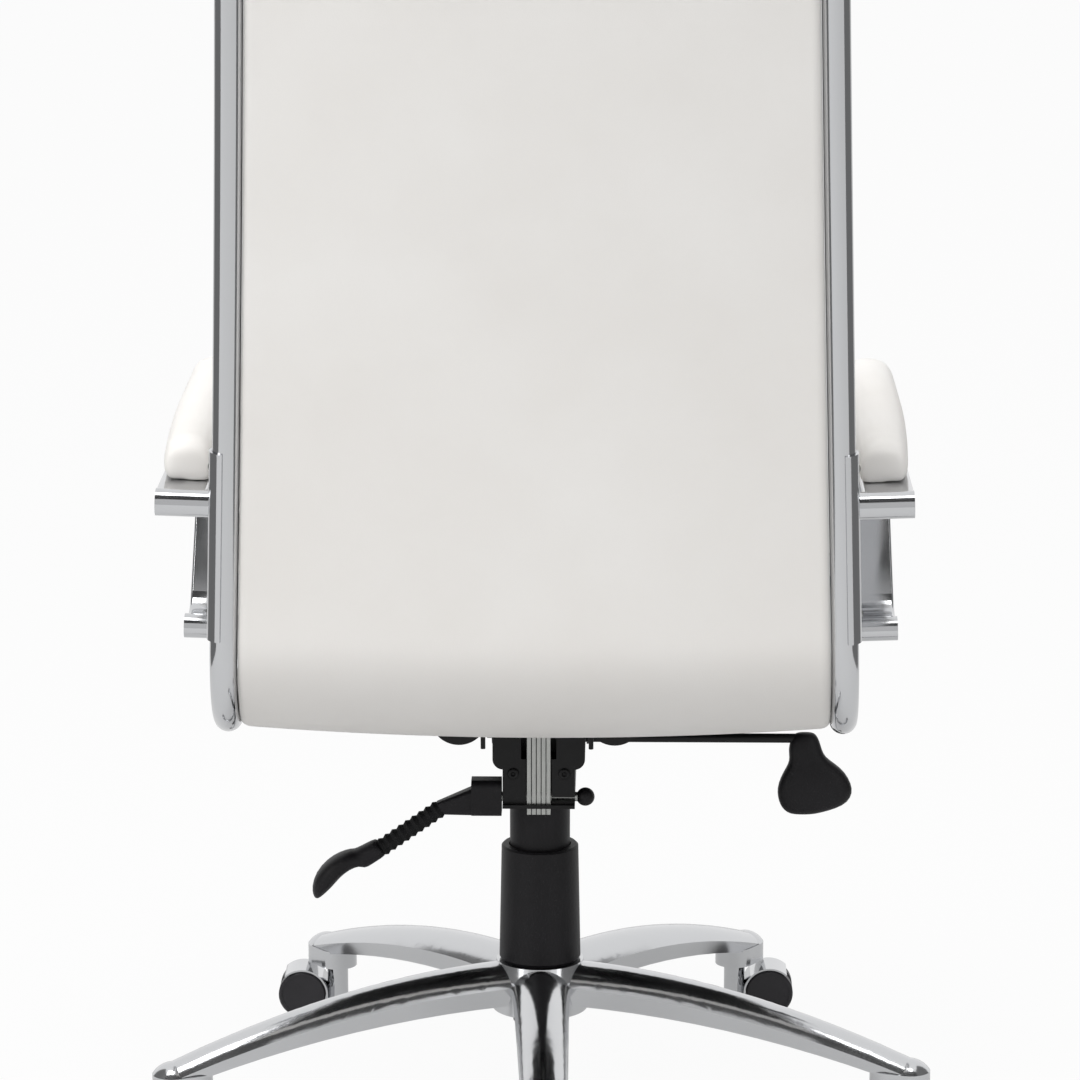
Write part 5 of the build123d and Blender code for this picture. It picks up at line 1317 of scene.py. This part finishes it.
def floor_finish():
    """Pale paper, almost white to the camera, half white to mirrors, that keeps the shadow."""
    finish, tree = empty_finish("studio_floor_paper")
    rays = add_node(tree, "ShaderNodeLightPath")
    mirrored = add_node(
        tree,
        "ShaderNodeMath",
        {0: rays.outputs["Is Glossy Ray"], 1: MIRRORED_WHITE},
        operation="MULTIPLY",
    )
    direct = add_node(
        tree,
        "ShaderNodeMath",
        {0: rays.outputs["Is Camera Ray"], 1: DIRECT_WHITE},
        operation="MULTIPLY",
    )
    share = add_node(
        tree,
        "ShaderNodeMath",
        {0: mirrored.outputs["Value"], 1: direct.outputs["Value"]},
        operation="MAXIMUM",
    )
    paper = add_node(tree, "ShaderNodeBsdfDiffuse", {"Color": linear(PAPER)})
    glow = add_node(tree, "ShaderNodeEmission", {"Color": WHITE, "Strength": 1.0})
    mixed = add_node(
        tree,
        "ShaderNodeMixShader",
        {0: share.outputs["Value"], 1: paper.outputs["BSDF"], 2: glow.outputs["Emission"]},
    )
    add_node(tree, "ShaderNodeOutputMaterial", {"Surface": mixed.outputs["Shader"]})
    return finish


def sheet_mesh(name, half_x, half_y, finish):
    """A flat rectangle around the origin that faces up."""
    mesh = bpy.data.meshes.new(name)
    corners = [(x * half_x, y * half_y, 0) for x, y in ((-1, -1), (1, -1), (1, 1), (-1, 1))]
    mesh.from_pydata(corners, [], [(0, 1, 2, 3)])
    mesh.materials.append(finish)
    return mesh


floor_mesh = sheet_mesh("studio_floor", FLOOR_HALF, FLOOR_HALF, floor_finish())
floor = bpy.data.objects.new("studio_floor", floor_mesh)
scene.collection.objects.link(floor)
print("floor:", 2 * FLOOR_HALF, "m wide")

# %% White room
ROOM_FILL = 0.5

world = bpy.data.worlds.new("white_room")
scene.world = world
world.use_nodes = True
tree = world.node_tree
tree.nodes.clear()
rays = add_node(tree, "ShaderNodeLightPath")
direct = add_node(
    tree,
    "ShaderNodeMath",
    {0: rays.outputs["Is Camera Ray"], 1: rays.outputs["Is Glossy Ray"]},
    operation="MAXIMUM",
)
direct = add_node(
    tree,
    "ShaderNodeMath",
    {0: direct.outputs["Value"], 1: rays.outputs["Is Transmission Ray"]},
    operation="MAXIMUM",
)
white = add_node(tree, "ShaderNodeBackground", {"Color": WHITE, "Strength": 1.0})
fill = add_node(tree, "ShaderNodeBackground", {"Color": WHITE, "Strength": ROOM_FILL})
room = add_node(
    tree,
    "ShaderNodeMixShader",
    {0: direct.outputs["Value"], 1: fill.outputs["Background"], 2: white.outputs["Background"]},
)
add_node(tree, "ShaderNodeOutputWorld", {"Surface": room.outputs["Shader"]})
print("room:", world.name)

# %% [markdown]
# ## Lamps and cards
# One large soft lamp hangs above, and two weaker ones stand at the sides, the left one stronger, so
# that the panel has a gentle fall of light. Chrome needs something dark to draw its edges with, so
# dark cards stand at both sides and hang above, and a grey wall stands behind the camera. Only
# reflections see them.

# %% Lamps
CHAIR_MIDDLE = Vector((0, 0.1, 0.6))


def add_lamp(name, place, width, height, power):
    """A soft rectangular lamp that points at the chair."""
    lamp_data = bpy.data.lights.new(name, "AREA")
    lamp_data.shape = "RECTANGLE"
    lamp_data.size = width
    lamp_data.size_y = height
    lamp_data.energy = power
    lamp = bpy.data.objects.new(name, lamp_data)
    lamp.location = place
    lamp.rotation_euler = (CHAIR_MIDDLE - Vector(place)).to_track_quat("-Z", "Y").to_euler()
    scene.collection.objects.link(lamp)


# Place, width and height in metres, power in watts.
add_lamp("top_lamp", (0.4, 1.2, 3.2), 2.6, 2.2, 84)
add_lamp("left_lamp", (3.0, 2.2, 1.8), 1.2, 1.8, 32)
add_lamp("right_lamp", (-3.0, 2.0, 1.6), 1.2, 1.8, 9)
print("lamps:", len(bpy.data.lights))

# %% Cards for the reflections


def add_screen(name, place, target, width, height, glow):
    """A card outside the picture that only reflections see, with an even glow."""
    finish, tree = empty_finish(name)
    light = add_node(tree, "ShaderNodeEmission", {"Color": WHITE, "Strength": glow})
    add_node(tree, "ShaderNodeOutputMaterial", {"Surface": light.outputs["Emission"]})
    screen = bpy.data.objects.new(name, sheet_mesh(name, width / 2, height / 2, finish))
    screen.location = place
    screen.rotation_euler = (Vector(target) - Vector(place)).to_track_quat("Z", "Y").to_euler()
    screen.visible_camera = False
    screen.visible_diffuse = False
    screen.visible_shadow = False
    scene.collection.objects.link(screen)


# Place, target, width and height in metres, glow.
add_screen("card_left", (1.3, 0.1, 1.0), (0, 0.1, 1.0), 1.5, 2.0, 0.2)
add_screen("card_right", (-1.3, 0.1, 1.0), (0, 0.1, 1.0), 1.5, 2.0, 0.2)
add_screen("wall_behind_camera", (0, 6.0, 2.4), (0, 0, 2.4), 7.0, 4.8, 0.66)
add_screen("card_above", (0, 1.9, 2.4), (0, 1.9, 0.0), 5.0, 2.0, 0.06)
print("studio ready")
